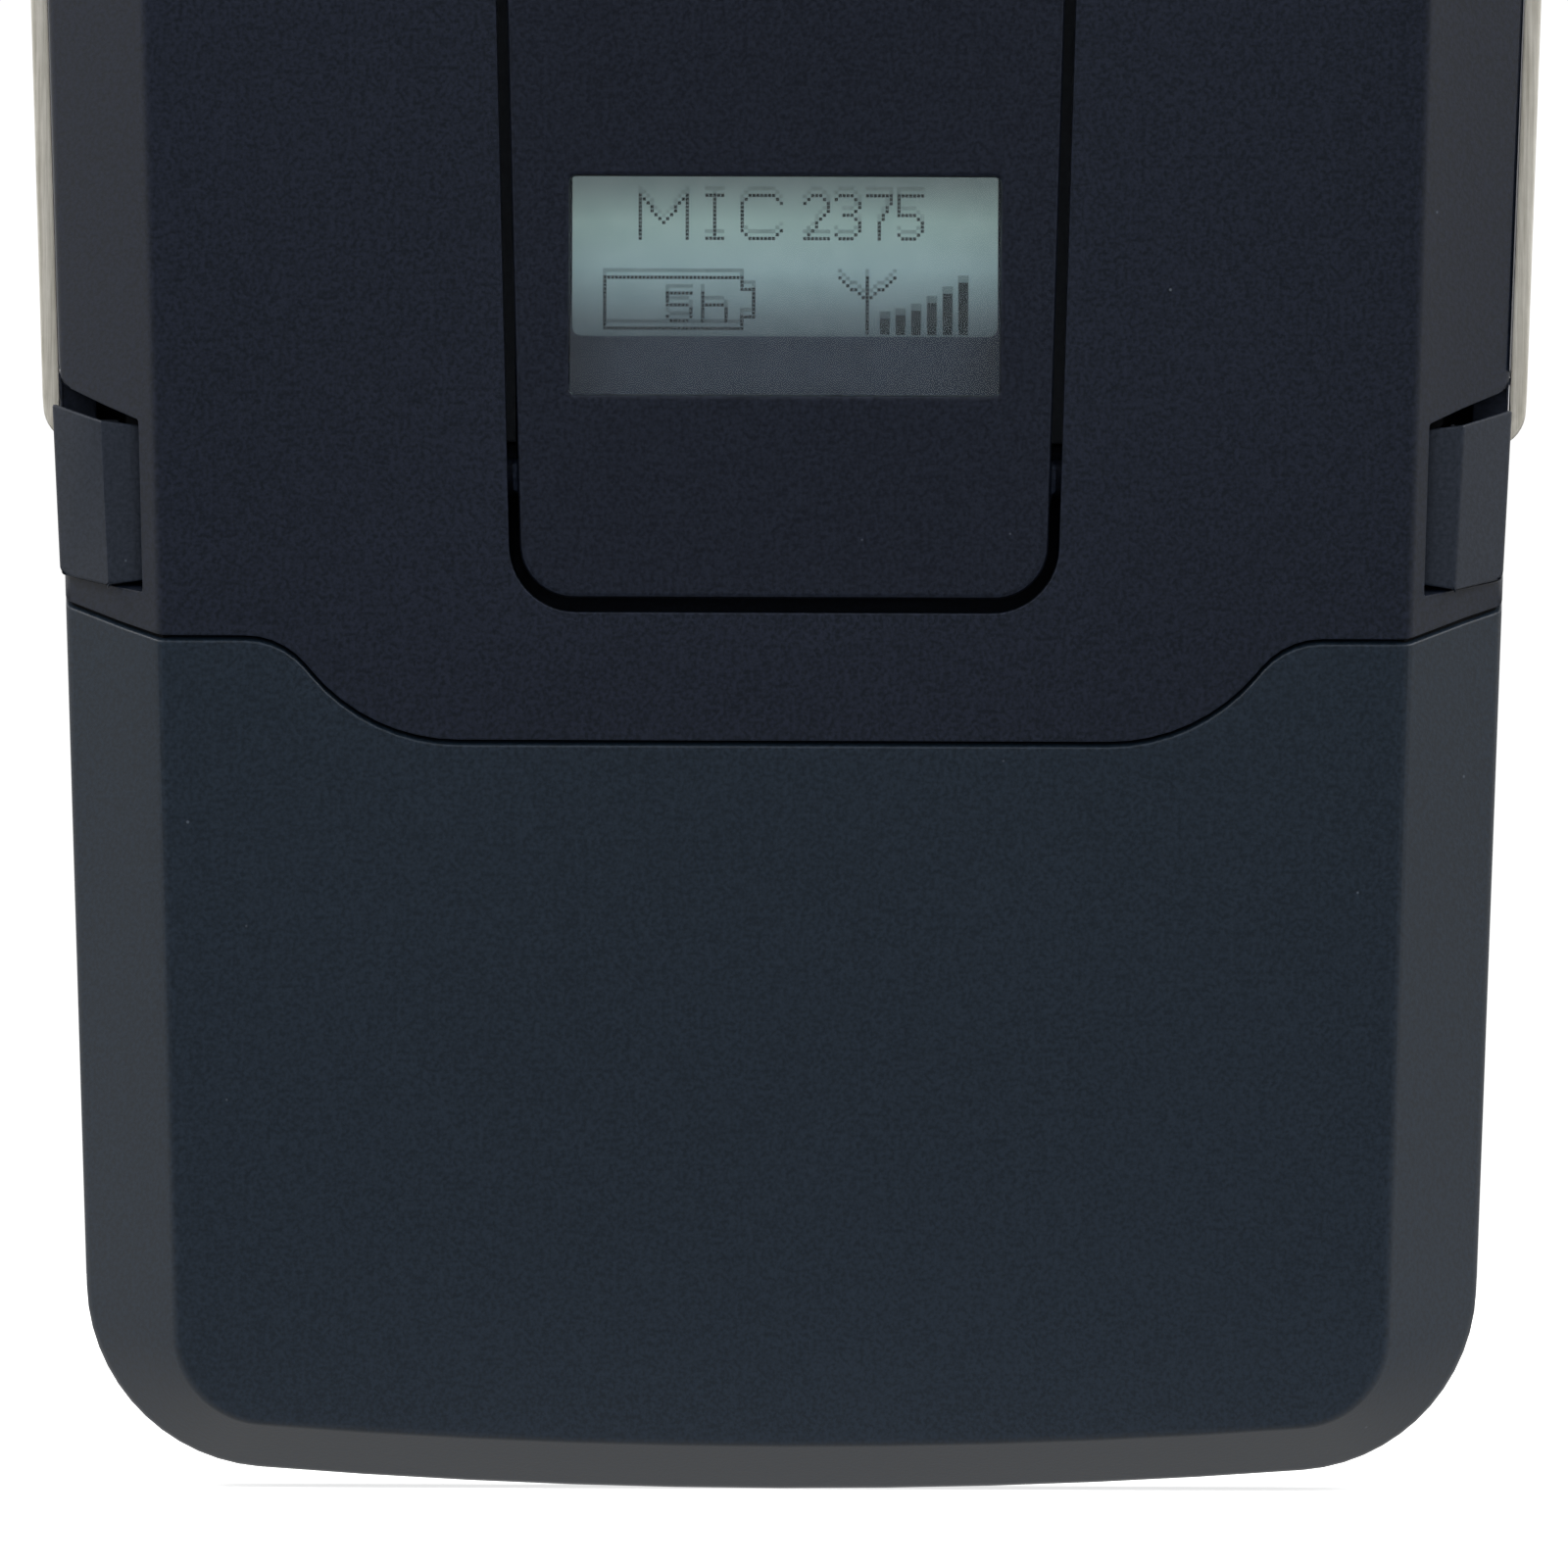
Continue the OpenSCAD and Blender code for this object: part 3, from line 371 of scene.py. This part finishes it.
materials = {
    "housingPaint": satinPaint("satin_paint_housing", "#0e141d", "#191f2d"),
    "flapPaint": satinPaint("satin_paint_flap", "#0d121c", "#171d2a"),
    "packPaint": satinPaint("satin_paint_pack", "#131c25", "#1c2733"),
    "catchPaint": satinPaint("satin_paint_catch", "#1b212a", "#252b36"),
    "plateAbs": mouldedPlastic("moulded_abs_control_plate", "#22262c", "#2b3037"),
    "keyAbs": mouldedPlastic("moulded_abs_key_grey", "#7d838b", "#959ba3", roughness=0.42),
    "blackAcetal": mouldedPlastic("moulded_acetal_black", "#15171a", "#1f2226", roughness=0.4),
    "blackEpoxy": mouldedPlastic("moulded_epoxy_chip", "#121315", "#1c1d20", 0.1 * mm, roughness=0.6),
    "frameAbs": mouldedPlastic("moulded_abs_screen_frame", "#363f4d", "#414a57", roughness=0.6, shine=0.05),
    "sealRubber": mouldedPlastic(
        "moulded_silicone_rubber_black", "#07080a", "#0e0f11", roughness=0.8, shine=0.2
    ),
    "opalAcrylic": mouldedPlastic("opal_acrylic_light_guide", "#d9dedd", "#eef1f0", roughness=0.3),
    "ledAcrylic": mouldedPlastic("clear_acrylic_led_guide", "#b9cdbb", "#d3e2d4", roughness=0.15),
    "amberFilm": mouldedPlastic("polyimide_film_amber", "#8a4a12", "#a55c1b", roughness=0.35),
    "foam": mouldedPlastic("closed_cell_foam_grey", "#2a2a2a", "#454545", 0.5 * mm, 0.05 * mm, 0.9),
    "shrinkWrap": mouldedPlastic("pvc_shrink_wrap_blue_grey", "#56657b", "#64748b", 2 * mm, roughness=0.25),
    # the belt clip's near-white tone with little metal in it is partly painted reflection of the bright
    # surroundings; its brushed lines and rubbed unevenness are its own
    "clipSteel": linedMetal(
        "spring_steel_brushed_worn_painted_reflection", "#c8c3b4", "#fffbf0", 0.16 * mm, 2, (0.38, 0.6), 0.01 * mm, 0.35, 0.25
    ),
    "nickel": linedMetal("nickel_plated_brass_turned", "#8f8d88", "#c8c5bd", 0.12 * mm, 0, (0.16, 0.3)),
    "tinned": linedMetal("tinned_steel_rolled", "#8b8e92", "#c3c6c9", 0.2 * mm, 0, (0.25, 0.45)),
    "blackSteel": linedMetal("steel_black_oxide", "#1b1c1e", "#36383b", 0.15 * mm, 0, (0.35, 0.5)),
    "gold": linedMetal("gold_plated_contact", "#b98a35", "#e3bb62", 0.1 * mm, 2, (0.18, 0.3)),
    "paneAcrylic": clearAcrylic("cast_acrylic_pane"),
    "printInk": thinFilm("screen_print_ink_pale", "#a9aeb4", "#c4c8cc", 1.0),
    "crystal": thinFilm("liquid_crystal_dark", "#39424a", "#434c54", 0.62),
    "segmentShadowPaint": thinFilm("painted_segment_shadow", "#4a5055", "#555b60", 0.16),
    "boardGreen": solderMask("glass_epoxy_solder_mask"),
}
print("materials made:", len(materials))


# radius that the mould, the press tool and the paint leave on each part's edges
lips = {
    "shell": 0.1 * mm,
    "flap": 0.22 * mm,
    "catch": 0.14 * mm,
    "clip": 0.13 * mm,
    "plate": 0.12 * mm,
    "key": 0.25 * mm,
    "slider": 0.15 * mm,
}
softened = [
    ("housingFront", "front_shell", "housing", "shell", "housingPaint"),
    ("housingRear", "rear_shell", "housing", "shell", "housingPaint"),
    ("packFront", "pack_front_shell", "pack", "shell", "packPaint"),
    ("packRear", "pack_rear_shell", "pack", "shell", "packPaint"),
    ("flapSkin", "display_flap", "flap", "flap", "flapPaint"),
    ("catchLeft", "release_button_left", "release_left", "catch", "catchPaint"),
    ("catchRight", "release_button_right", "release_right", "catch", "catchPaint"),
    ("beltClip", "belt_clip", "clip", "clip", "clipSteel"),
    ("controlPlate", "control_plate", "housing", "plate", "plateAbs"),
    ("keyPower", "power_button", "power", "key", "keyAbs"),
    ("keySet", "set_button", "set", "key", "keyAbs"),
    ("keyPair", "pair_button", "pair", "key", "keyAbs"),
    ("muteKnob", "mute_slider", "mute", "slider", "keyAbs"),
    ("socketNut", "jack_nut", "housing", "slider", "nickel"),
]
cuts = {"beltClip": (-11.5 * mm, 11.5 * mm)}  # the tongue's sides, where it meets the band
miters = {"catchLeft": "SHARP", "catchRight": "SHARP"}  # their rounds meet in a point at corners
for name, node, body, lip, finish in softened:
    piece = roundedCopy(name, node, lips[lip], cuts.get(name, ()), miters.get(name, "ARC"))
    dress(piece, materials[finish], body, node)
print("rounded pieces made:", len(softened))


# rubber seal on the pack's rim, in the joint that the housing stands on
seal = {
    "middleHeight": 30.85 * mm,   # of the joint on the front face
    "middleHalf": 13.5 * mm,      # half-width of its level middle stretch
    "rise": 4.3 * mm,             # from the middle up to the sides
    "arcs": (8.0 * mm, 3.3 * mm),
    "arcSteps": (9, 6),
    "turn": math.radians(50),     # steepest slope of the rise
    "slant": math.radians(19.9),  # slope from the front up to the back
    # corners of the body's right half at the joint, across and in depth, and where each one moves when
    # the outline is drawn in by one unit; the first lies further in, so that the front gap stays deep
    "corners": np.array([[24.5, 0.7], [25.94, 0], [29.85, 4], [30.04, 17.5], [27.04, 20.5]]) * mm,
    "inwards": np.array([[0, 1], [-0.6, 1], [-1, 0.35], [-1, -0.4], [-0.4, -1]]),
    "outer": 0.25 * mm,           # distance inside the outline
    "width": 0.9 * mm,
    "foot": 0.02 * mm,            # under side and upper side above the pack's rim
    "top": 0.17 * mm,
    "points": 60,
}
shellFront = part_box("front_shell")[0][1]


# height of the joint: f(x) + y tan(slant), where f is level in the middle, rises through an arc, a
# straight run and a second arc, and is level again at the sides
def jointHeight(x, y):
    low, high = seal["arcs"]
    run = (seal["rise"] - (low + high) * (1 - math.cos(seal["turn"]))) / math.sin(seal["turn"])
    end = seal["middleHalf"] + (low + high) * math.sin(seal["turn"]) + run * math.cos(seal["turn"])
    up = np.linspace(0, seal["turn"], seal["arcSteps"][0])
    over = np.linspace(seal["turn"], 0, seal["arcSteps"][1])
    across = np.concatenate([seal["middleHalf"] + low * np.sin(up), end - high * np.sin(over)])
    height = np.concatenate([low * (1 - np.cos(up)), seal["rise"] - high * (1 - np.cos(over))])
    return seal["middleHeight"] + np.interp(np.abs(x), across, height) + y * math.tan(seal["slant"])


# plan of the seal at a distance inside the body's outline: straight runs between its corners
def sealPlan(inside):
    right = seal["corners"] + seal["inwards"] * inside
    corners = np.concatenate([right, right[::-1] * (-1, 1)])
    share = np.linspace(0, 1, seal["points"], endpoint=False)[:, None]
    following = np.roll(corners, -1, axis=0)
    return ((1 - share) * corners[:, None] + share * following[:, None]).reshape(-1, 2)


rim = []
for inside, level in [(0, "foot"), (1, "foot"), (1, "top"), (0, "top")]:
    plan = sealPlan(seal["outer"] + inside * seal["width"])
    height = jointHeight(plan[:, 0], plan[:, 1]) + seal[level]
    rim.append(np.column_stack([plan[:, 0], shellFront + plan[:, 1], height]))
rim = np.stack(rim, axis=1)
sealRing = addPiece("sealRing", rim.reshape(-1, 3), gridFaces(len(rim), 4, True, True))
dress(sealRing, materials["sealRubber"], "pack")

# lips inside the slits between the half shells: long strips in the side walls, and short posts behind
# the rounded corners, where a strip would stand out
shellLip = {
    "side": 28.65 * mm,               # half-width of the body at its foot
    "lean": 0.0332,                   # its growth with height
    "split": 11.0 * mm,               # depth of the slits
    "strip": (0.01 * mm, 0.04 * mm),  # from and to, behind the split
    "stripInside": (0.4 * mm, 1.3 * mm),
    "post": (-0.5 * mm, 0.5 * mm),
    "postInside": (5.0 * mm, 6.0 * mm),
    "heights": {
        "pack": {"strip": (8 * mm, 38.8 * mm), "post": (1.7 * mm, 8.4 * mm)},
        "housing": {"strip": (39.6 * mm, 88 * mm), "post": (87.5 * mm, 93 * mm)},
    },
}
for body, slot in [("pack", "pack_front_shell"), ("housing", "front_shell")]:
    low, high = [], []
    for side in (-1, 1):
        for kind, (foot, top) in shellLip["heights"][body].items():
            ends = np.sort([side * (shellLip["side"] - inside) for inside in shellLip[kind + "Inside"]])
            front, back = [shellFront + shellLip["split"] + depth for depth in shellLip[kind]]
            low.append([ends[0], front, foot])
            high.append([ends[1], back, top])
    points, faces = blocks(np.array(low), np.array(high))
    points[:, 0] += np.sign(points[:, 0]) * shellLip["lean"] * points[:, 2]
    dress(addPiece("shellLip_" + body, points, faces), materials["housingPaint"], body)
print("seal and lips made")


picture = {
    "dot": 0.163 * mm,       # pitch of the dot matrix
    "fill": 0.84,            # share of the pitch that a dot covers
    "left": -37,             # dots from the middle to the left end of the name,
    "numberLeft": 5,         # of the number beside it
    "hoursLeft": -30,        # and of the hours
    "textRow": 25,           # rows above the screen's lower edge
    "foot": 2,               # rows between the screen's edge and the symbols
    "narrow": 6 / 7,         # figures beside the letters' full size
    "low": 7 / 11,
    "bars": (4.2, 5, 6.2, 8.2, 10.6, 13.4),  # heights of the level bars in rows
    "barLeft": 25.5, "barPitch": 4, "barWidth": 2.4, "barSink": 1.5, "barBlur": 1.15,
    "thickness": 0.012 * mm,
    "shadeRise": 0.3 * mm,   # a low light throws the shade of each segment upwards
    "message": "MIC 2375",
    "hours": "5h",
}
# strokes of each sign in dots, 11 high: figures are 7 wide
signs = {
    "M": [[(0, 0), (0, 11), (6, 4), (12, 11), (12, 0)]],
    "I": [[(0, 0), (4, 0)], [(2, 0), (2, 11)], [(0, 11), (4, 11)]],
    "C": [[(10, 9), (8, 11), (2, 11), (0, 9), (0, 2), (2, 0), (8, 0), (10, 2)]],
    "h": [[(0, 0), (0, 11)], [(0, 5), (2, 7), (5, 7), (7, 5), (7, 0)]],
    "2": [[(0, 9), (2, 11), (5, 11), (7, 9), (7, 7), (0, 0), (7, 0)]],
    "3": [[(0, 10), (1, 11), (5, 11), (7, 9), (7, 8), (5, 6), (2, 6)],
          [(5, 6), (7, 4), (7, 2), (5, 0), (1, 0), (0, 1)]],
    "5": [[(7, 11), (0, 11), (0, 6), (5, 6), (7, 4), (7, 2), (5, 0), (1, 0), (0, 1)]],
    "7": [[(0, 11), (7, 11), (7, 9), (3, 4), (3, 0)]],
}


# dots along a stroke: one for each step of its longer direction, as a dot matrix draws a line
def strokeDots(points):
    dots = []
    for start, end in zip(points, points[1:]):
        steps = int(max(abs(end[0] - start[0]), abs(end[1] - start[1]))) + 1
        share = np.linspace(0, 1, steps)[:, None]
        dots.append((1 - share) * start + share * end)
    return np.rint(np.concatenate(dots))


# a line of signs from a left end, each scaled by size, with a gap of dots between them
def lineDots(message, left, row, size, gap):
    dots = []
    for sign in message:
        strokes = [np.rint(np.array(stroke) * size) for stroke in signs.get(sign, [[(0, 0)]])]
        if sign != " ":
            dots += [strokeDots(stroke) + (left, row) for stroke in strokes]
        left += max(stroke[:, 0].max() for stroke in strokes) + gap
    return np.concatenate(dots)


screen = {"hiddenFoot": 3.5 * mm, "height": 6.6 * mm}  # the frame hides the glass's foot
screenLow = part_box("lcd_glass")[0].y
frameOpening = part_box("lcd_glass")[0].z + screen["hiddenFoot"]


# low and high corners of blocks that stand on the screen, from centres and sizes in dots
def onScreen(centres, sizes, rise=0.0, depth=1.0):
    middle = np.asarray(centres, float) * picture["dot"]
    half = np.asarray(sizes, float) * picture["dot"] / 2
    front = np.full(len(middle), screenLow - depth * picture["thickness"])
    back = np.full(len(middle), screenLow - (depth - 1) * picture["thickness"])
    base = frameOpening + rise
    low = np.column_stack([middle[:, 0] - half[:, 0], front, base + middle[:, 1] - half[:, 1]])
    high = np.column_stack([middle[:, 0] + half[:, 0], back, base + middle[:, 1] + half[:, 1]])
    return low, high


foot = picture["foot"]
battery = [(-46, 0), (-11, 0), (-11, 3), (-8, 3), (-8, 10), (-11, 10), (-11, 13), (-46, 13), (-46, 0)]
aerial = [[(21, -1), (21, 13)], [(21, 7), (14, 13)], [(21, 7), (28, 13)]]
dots = np.concatenate(
    [strokeDots(np.array(stroke)) + (0, foot) for stroke in [battery] + aerial]
    + [lineDots(picture["hours"], picture["hoursLeft"], foot + 2, (picture["narrow"], picture["low"]), 3)]
    + [lineDots(picture["message"][:4], picture["left"], picture["textRow"], (1, 1), 5)]
    + [lineDots(
        picture["message"][4:], picture["numberLeft"], picture["textRow"], (picture["narrow"], 1), 2
    )]
)
dots = np.unique(dots, axis=0)
barHeights = np.array(picture["bars"])
barCentres = np.column_stack([
    picture["barLeft"] + picture["barPitch"] * np.arange(len(barHeights)),
    foot - picture["barSink"] + barHeights / 2,
])
barSizes = np.column_stack([np.full(len(barHeights), picture["barWidth"]), barHeights])
cell = np.full((len(dots), 2), picture["fill"])
centres = np.concatenate([dots, barCentres])
sizes = np.concatenate([cell, barSizes])
segments = addPiece("screenSegments", *blocks(*onScreen(centres, sizes, 0.0, 2.0)))
dress(segments, materials["crystal"], "housing")
# painted shadow: a faint copy of every segment and bar, raised by shadeRise and widened for the bars,
# stands for the shadow they throw on the screen
shaded = np.concatenate([np.full((len(dots), 2), 1.0), barSizes * (picture["barBlur"], 1.0)])
shade = addPiece("screenPaintedShadow", *blocks(*onScreen(centres, shaded, picture["shadeRise"], 1.0)))
dress(shade, materials["segmentShadowPaint"], "housing")
print("screen picture:", len(dots), "dots and", len(barHeights), "bars")


bush = {
    "outer": 3.0 * mm, "neck": 2.5 * mm, "flange": 4.4 * mm, "bore": 1.8 * mm,
    "pitch": 0.5 * mm, "threadDepth": 0.28 * mm, "threadHeight": 2.4 * mm,
    "chamfer": 0.25 * mm, "flangeHeight": 1.35 * mm, "flangeRise": 2.0 * mm,
    "threadRows": 44,
    "runIn": 0.3 * mm, "runOut": 0.2 * mm,  # the thread reaches its depth, and ends, within these
}


# a turned profile of radius and height carried round an axis; where thread is 1 the radius drops by a
# triangle wave of height over pitch less the angle's share of a turn, which makes a helix
def turned(profile, thread, axisX, axisY, pitch, depth, around=96):
    angle = np.linspace(0, 2 * np.pi, around, endpoint=False)[None, :]
    radius, height = profile[:, :1], profile[:, 1:]
    phase = (height / pitch - angle / (2 * np.pi)) % 1
    radius = radius - depth * thread[:, None] * np.abs(2 * phase - 1)
    points = np.stack([
        axisX + radius * np.cos(angle), axisY + radius * np.sin(angle), height + 0 * angle,
    ], axis=-1)
    return points.reshape(-1, 3), gridFaces(len(profile), around, True, True)


bushLow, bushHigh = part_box("jack_bush")
threadFoot = bushHigh.z - bush["threadHeight"]
flangeFoot = bushLow.z + bush["flangeRise"]
threadZ = np.linspace(threadFoot, bushHigh.z - bush["chamfer"], bush["threadRows"])
profile = np.array([
    [bush["bore"], bushLow.z], [bush["neck"], bushLow.z], [bush["neck"], flangeFoot],
    [bush["flange"], flangeFoot], [bush["flange"], flangeFoot + bush["flangeHeight"]],
    [bush["neck"], flangeFoot + bush["flangeHeight"]], [bush["neck"], threadFoot],
    *[[bush["outer"], z] for z in threadZ],
    [bush["outer"] - bush["chamfer"], bushHigh.z], [bush["bore"] + bush["chamfer"], bushHigh.z],
    [bush["bore"], bushHigh.z - bush["chamfer"]],
])
thread = np.zeros(len(profile))
threadRows = profile[:, 0] == bush["outer"]
thread[threadRows] = np.clip(np.minimum(
    (threadZ - threadZ[0]) / bush["runIn"], (threadZ[-1] - threadZ) / bush["runOut"]
), 0, 1)
middle = (bushLow + bushHigh) / 2
socketBush = addPiece("socketBush", *turned(
    profile, thread, middle.x, middle.y, bush["pitch"], bush["threadDepth"]
))
dress(socketBush, materials["nickel"], "housing", "jack_bush")
print("threaded bush made")


# pale print: a power sign on its key, and a tick and waves on the plate under their keys
marks = {
    "width": 0.28 * mm, "ink": 0.02 * mm, "points": 28,
    "dish": 0.15 * mm,                    # the power key's face lies deeper than its edge by this
    "powerRadius": 1.25 * mm, "powerArc": (120, 420), "powerLine": (0.35 * mm, 1.7 * mm),
    "underKey": 1.2 * mm,
    "tick": np.array([[-1.0, 0], [-0.3, -0.7], [1.1, 0.7]]) * mm,
    "waves": (0.7 * mm, 1.3 * mm), "waveHalf": 40,
}


# a flat strip along a path of x and z: the profile is a thin rectangle carried along it, and its two
# ends are closed
def inkStrip(path, width, front, back):
    along = np.gradient(path, axis=0)
    along /= np.linalg.norm(along, axis=1)[:, None]
    across = np.column_stack([-along[:, 1], along[:, 0]]) * width / 2
    left, right = path + across, path - across
    corners = [(left, front), (right, front), (right, back), (left, back)]
    points = np.stack([
        np.column_stack([edge[:, 0], np.full(len(edge), y), edge[:, 1]]) for edge, y in corners
    ], axis=1)
    last = 4 * (len(path) - 1)
    faces = [list(face) for face in gridFaces(len(path), 4, False, True)]
    return points.reshape(-1, 3), faces + [[3, 2, 1, 0], [last, last + 1, last + 2, last + 3]]


# an arc of x and z round a centre, between two angles in degrees
def arcPath(x, z, radius, start, end):
    angle = np.radians(np.linspace(start, end, marks["points"]))
    return np.column_stack([x + radius * np.cos(angle), z + radius * np.sin(angle)])


# a straight path of x and z
def linePath(start, end):
    share = np.linspace(0, 1, 3)[:, None]
    return (1 - share) * np.array(start) + share * np.array(end)


# one piece out of several strips
def addPrint(name, paths, front, body):
    points, faces, count = [], [], 0
    for path in paths:
        stripPoints, stripFaces = inkStrip(path, marks["width"], front - marks["ink"], front)
        points.append(stripPoints)
        faces += [[corner + count for corner in face] for face in stripFaces]
        count += len(stripPoints)
    piece = addPiece(name, np.concatenate(points), faces)
    work = bmesh.new()
    work.from_mesh(piece.data)
    bmesh.ops.recalc_face_normals(work, faces=work.faces)
    work.to_mesh(piece.data)
    work.free()
    return dress(piece, materials["printInk"], body)


keyLow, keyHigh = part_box("power_button")
keyZ = (keyLow.z + keyHigh.z) / 2
addPrint("markPower", [
    arcPath(0, keyZ, marks["powerRadius"], *marks["powerArc"]),
    linePath((0, keyZ + marks["powerLine"][0]), (0, keyZ + marks["powerLine"][1])),
], keyLow.y + marks["dish"], "power")
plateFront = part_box("control_plate")[0].y
setLow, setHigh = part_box("set_button")
setX, setZ = (setLow.x + setHigh.x) / 2, setLow.z - marks["underKey"]
tick = marks["tick"] + (setX, setZ)
addPrint("markSet", [
    linePath(start, end) for start, end in zip(tick, tick[1:])
], plateFront, "housing")
addPrint("markPair", [
    arcPath(-setX, setZ, radius, side - marks["waveHalf"], side + marks["waveHalf"])
    for radius in marks["waves"] for side in (0, 180)
], plateFront, "housing")
print("print made")


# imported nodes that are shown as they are, by finish
kept = {
    "frameAbs": ["lcd_frame"],
    "opalAcrylic": ["lcd_backlight"],
    "amberFilm": ["lcd_ribbon"],
    "boardGreen": ["button_board", "main_board", "pack_board"],
    "blackEpoxy": ["tact_switches", "board_chips", "pack_chips"],
    "blackAcetal": ["contact_block", "jack_socket", "mute_switch", "latch_arm_left", "latch_arm_right"],
    "tinned": ["rf_shield", "usb_socket", "cell_tabs", "board_screws"],
    "gold": ["antenna", "contact_pins", "jack_contacts", "pack_contacts"],
    "blackSteel": ["housing_screws"],
    "ledAcrylic": ["status_lens", "charge_lens"],
    "paneAcrylic": ["flap_window"],
    "shrinkWrap": ["battery_cell"],
    "foam": ["cell_pad"],
    "polariser": ["lcd_glass"],
}
# the screen's finish, with its painted shade and painted glow
materials["polariser"] = screenWithPaintedShade(
    "liquid_crystal_polariser_painted_shade_and_glow", frameOpening, frameOpening + screen["height"]
)
for finish, names in kept.items():
    for name in names:
        nodes[name].data.materials.clear()
        nodes[name].data.materials.append(materials[finish])
print("finishes given:", sum(len(names) for names in kept.values()))


studio = {
    "floorSize": 1.2,
    "floorGlow": 0.76,       # light of the floor near the object, in reflections only
    "floorLift": 0.75,       # light of the floor for the camera only
    "floorTone": "#3c3c3c",  # what the floor throws back on the object
    "sheetStart": 0.05, "sheetEdge": 0.6,    # the glow falls off between these distances,
    "squeeze": 10.0,                         # so many times sooner to the front and the back
    "front": 0.05,           # light from straight in front, where a dark card stands
    "around": 1.05,          # light from the sides, the back and above
    "cardEdge": 0.3, "cardMiddle": 0.8,
}
# square lamps: place, size, power and whether reflections show them; the broad front one only brightens
lamps = {
    "left": ((-0.6, -0.12, 0.6), 0.2, 1.7, True),
    "right": ((0.6, -0.12, 0.6), 0.2, 1.7, True),
    "front": ((0, -1.5, 0.35), 2.0, 34, False),
}


# a big flat floor: the camera sees it white with the shadow left, reflections see it glow near the
# object only, and it throws little light back on the object
floor = addPiece("floor", np.array([
    [-1, -1, 0], [1, -1, 0], [1, 1, 0], [-1, 1, 0]
]) * studio["floorSize"] - (0, 0, 0.02 * mm), [[0, 1, 2, 3]])
floorMaterial, tree, shader = newMaterial("matte_painted_floor", Roughness=0.9, Specular_IOR_Level=0.0)
floorPath = addNode(tree, "ShaderNodeLightPath", {})
seenByCamera = floorPath.outputs["Is Camera Ray"]
squeezed = addNode(tree, "ShaderNodeMapping", {
    "Vector": addNode(tree, "ShaderNodeTexCoord", {}).outputs["Object"], "Scale": (1, studio["squeeze"], 0),
})
away = addNode(tree, "ShaderNodeVectorMath", {0: squeezed.outputs["Vector"]}, operation="LENGTH")
near = addNode(tree, "ShaderNodeMapRange", {
    "Value": away.outputs["Value"], "From Min": studio["sheetEdge"], "From Max": studio["sheetStart"],
    "To Max": studio["floorGlow"],
}, interpolation_type="SMOOTHSTEP")
mirrored = addNode(tree, "ShaderNodeMath", {
    0: floorPath.outputs["Is Glossy Ray"], 1: floorPath.outputs["Is Transmission Ray"],
}, operation="MAXIMUM")
reflected = addNode(tree, "ShaderNodeMath", {
    0: mirrored.outputs[0], 1: near.outputs["Result"],
}, operation="MULTIPLY")
glow = addNode(tree, "ShaderNodeMath", {
    0: seenByCamera, 1: studio["floorLift"], 2: reflected.outputs[0],
}, operation="MULTIPLY_ADD")
floorTone = addNode(tree, "ShaderNodeValToRGB", {"Fac": seenByCamera}, [
    (0.0, studio["floorTone"]), (1.0, "#f6f6f4"),
])
shader.inputs["Emission Color"].default_value = (1, 1, 1, 1)
tree.links.new(glow.outputs[0], shader.inputs["Emission Strength"])
tree.links.new(floorTone.outputs["Color"], shader.inputs["Base Color"])
floorMaterial.cycles.emission_sampling = "NONE"
floor.data.materials.append(floorMaterial)

world = bpy.data.worlds.new("studio")
bpy.context.scene.world = world
world.use_nodes = True
tree = world.node_tree
background = tree.nodes["Background"]
path = addNode(tree, "ShaderNodeLightPath", {})
direction = addNode(tree, "ShaderNodeTexCoord", {}).outputs["Generated"]
forward = addNode(tree, "ShaderNodeSeparateXYZ", {"Vector": direction})
towards = addNode(tree, "ShaderNodeMath", {0: forward.outputs["Y"], 1: -1.0}, operation="MULTIPLY")
card = addNode(tree, "ShaderNodeMapRange", {
    "Value": towards.outputs[0], "From Min": studio["cardEdge"], "From Max": studio["cardMiddle"],
    "To Min": studio["around"], "To Max": studio["front"],
}, interpolation_type="SMOOTHSTEP")
strength = addNode(tree, "ShaderNodeMath", {
    0: card.outputs["Result"], 1: path.outputs["Is Camera Ray"],
}, operation="MAXIMUM")
background.inputs["Color"].default_value = (1, 1, 1, 1)
tree.links.new(strength.outputs[0], background.inputs["Strength"])


for name, (place, size, power, shiny) in lamps.items():
    lamp = bpy.data.lights.new("lamp_" + name, "AREA")
    lamp.shape = "SQUARE"
    lamp.size = size
    lamp.energy = power
    holder = bpy.data.objects.new("lamp_" + name, lamp)
    holder.location = place
    aim = Vector((0, 0, 0.05)) - holder.location
    holder.rotation_euler = aim.to_track_quat("-Z", "Y").to_euler()
    holder.visible_glossy = shiny
    holder.visible_camera = False
    bpy.context.scene.collection.objects.link(holder)

view = {
    "distance": 2.8, "frameWidth": 65.28 * mm, "height": 29.29 * mm, "aside": 0.03 * mm,
    "sensor": 36.0, "roll": -0.2, "depth": -6 * mm,
}
camera = bpy.data.cameras.new("frontCamera")
camera.sensor_width = view["sensor"]
camera.lens = view["sensor"] * view["distance"] / view["frameWidth"]
camera.clip_start, camera.clip_end = 0.05, 20
holder = bpy.data.objects.new("frontCamera", camera)
holder.location = (view["aside"], view["depth"] - view["distance"], view["height"])
holder.rotation_euler = (math.radians(90), math.radians(view["roll"]), 0)
bpy.context.scene.collection.objects.link(holder)
bpy.context.scene.camera = holder
bpy.context.scene.view_settings.view_transform = "Standard"
print("stage set")
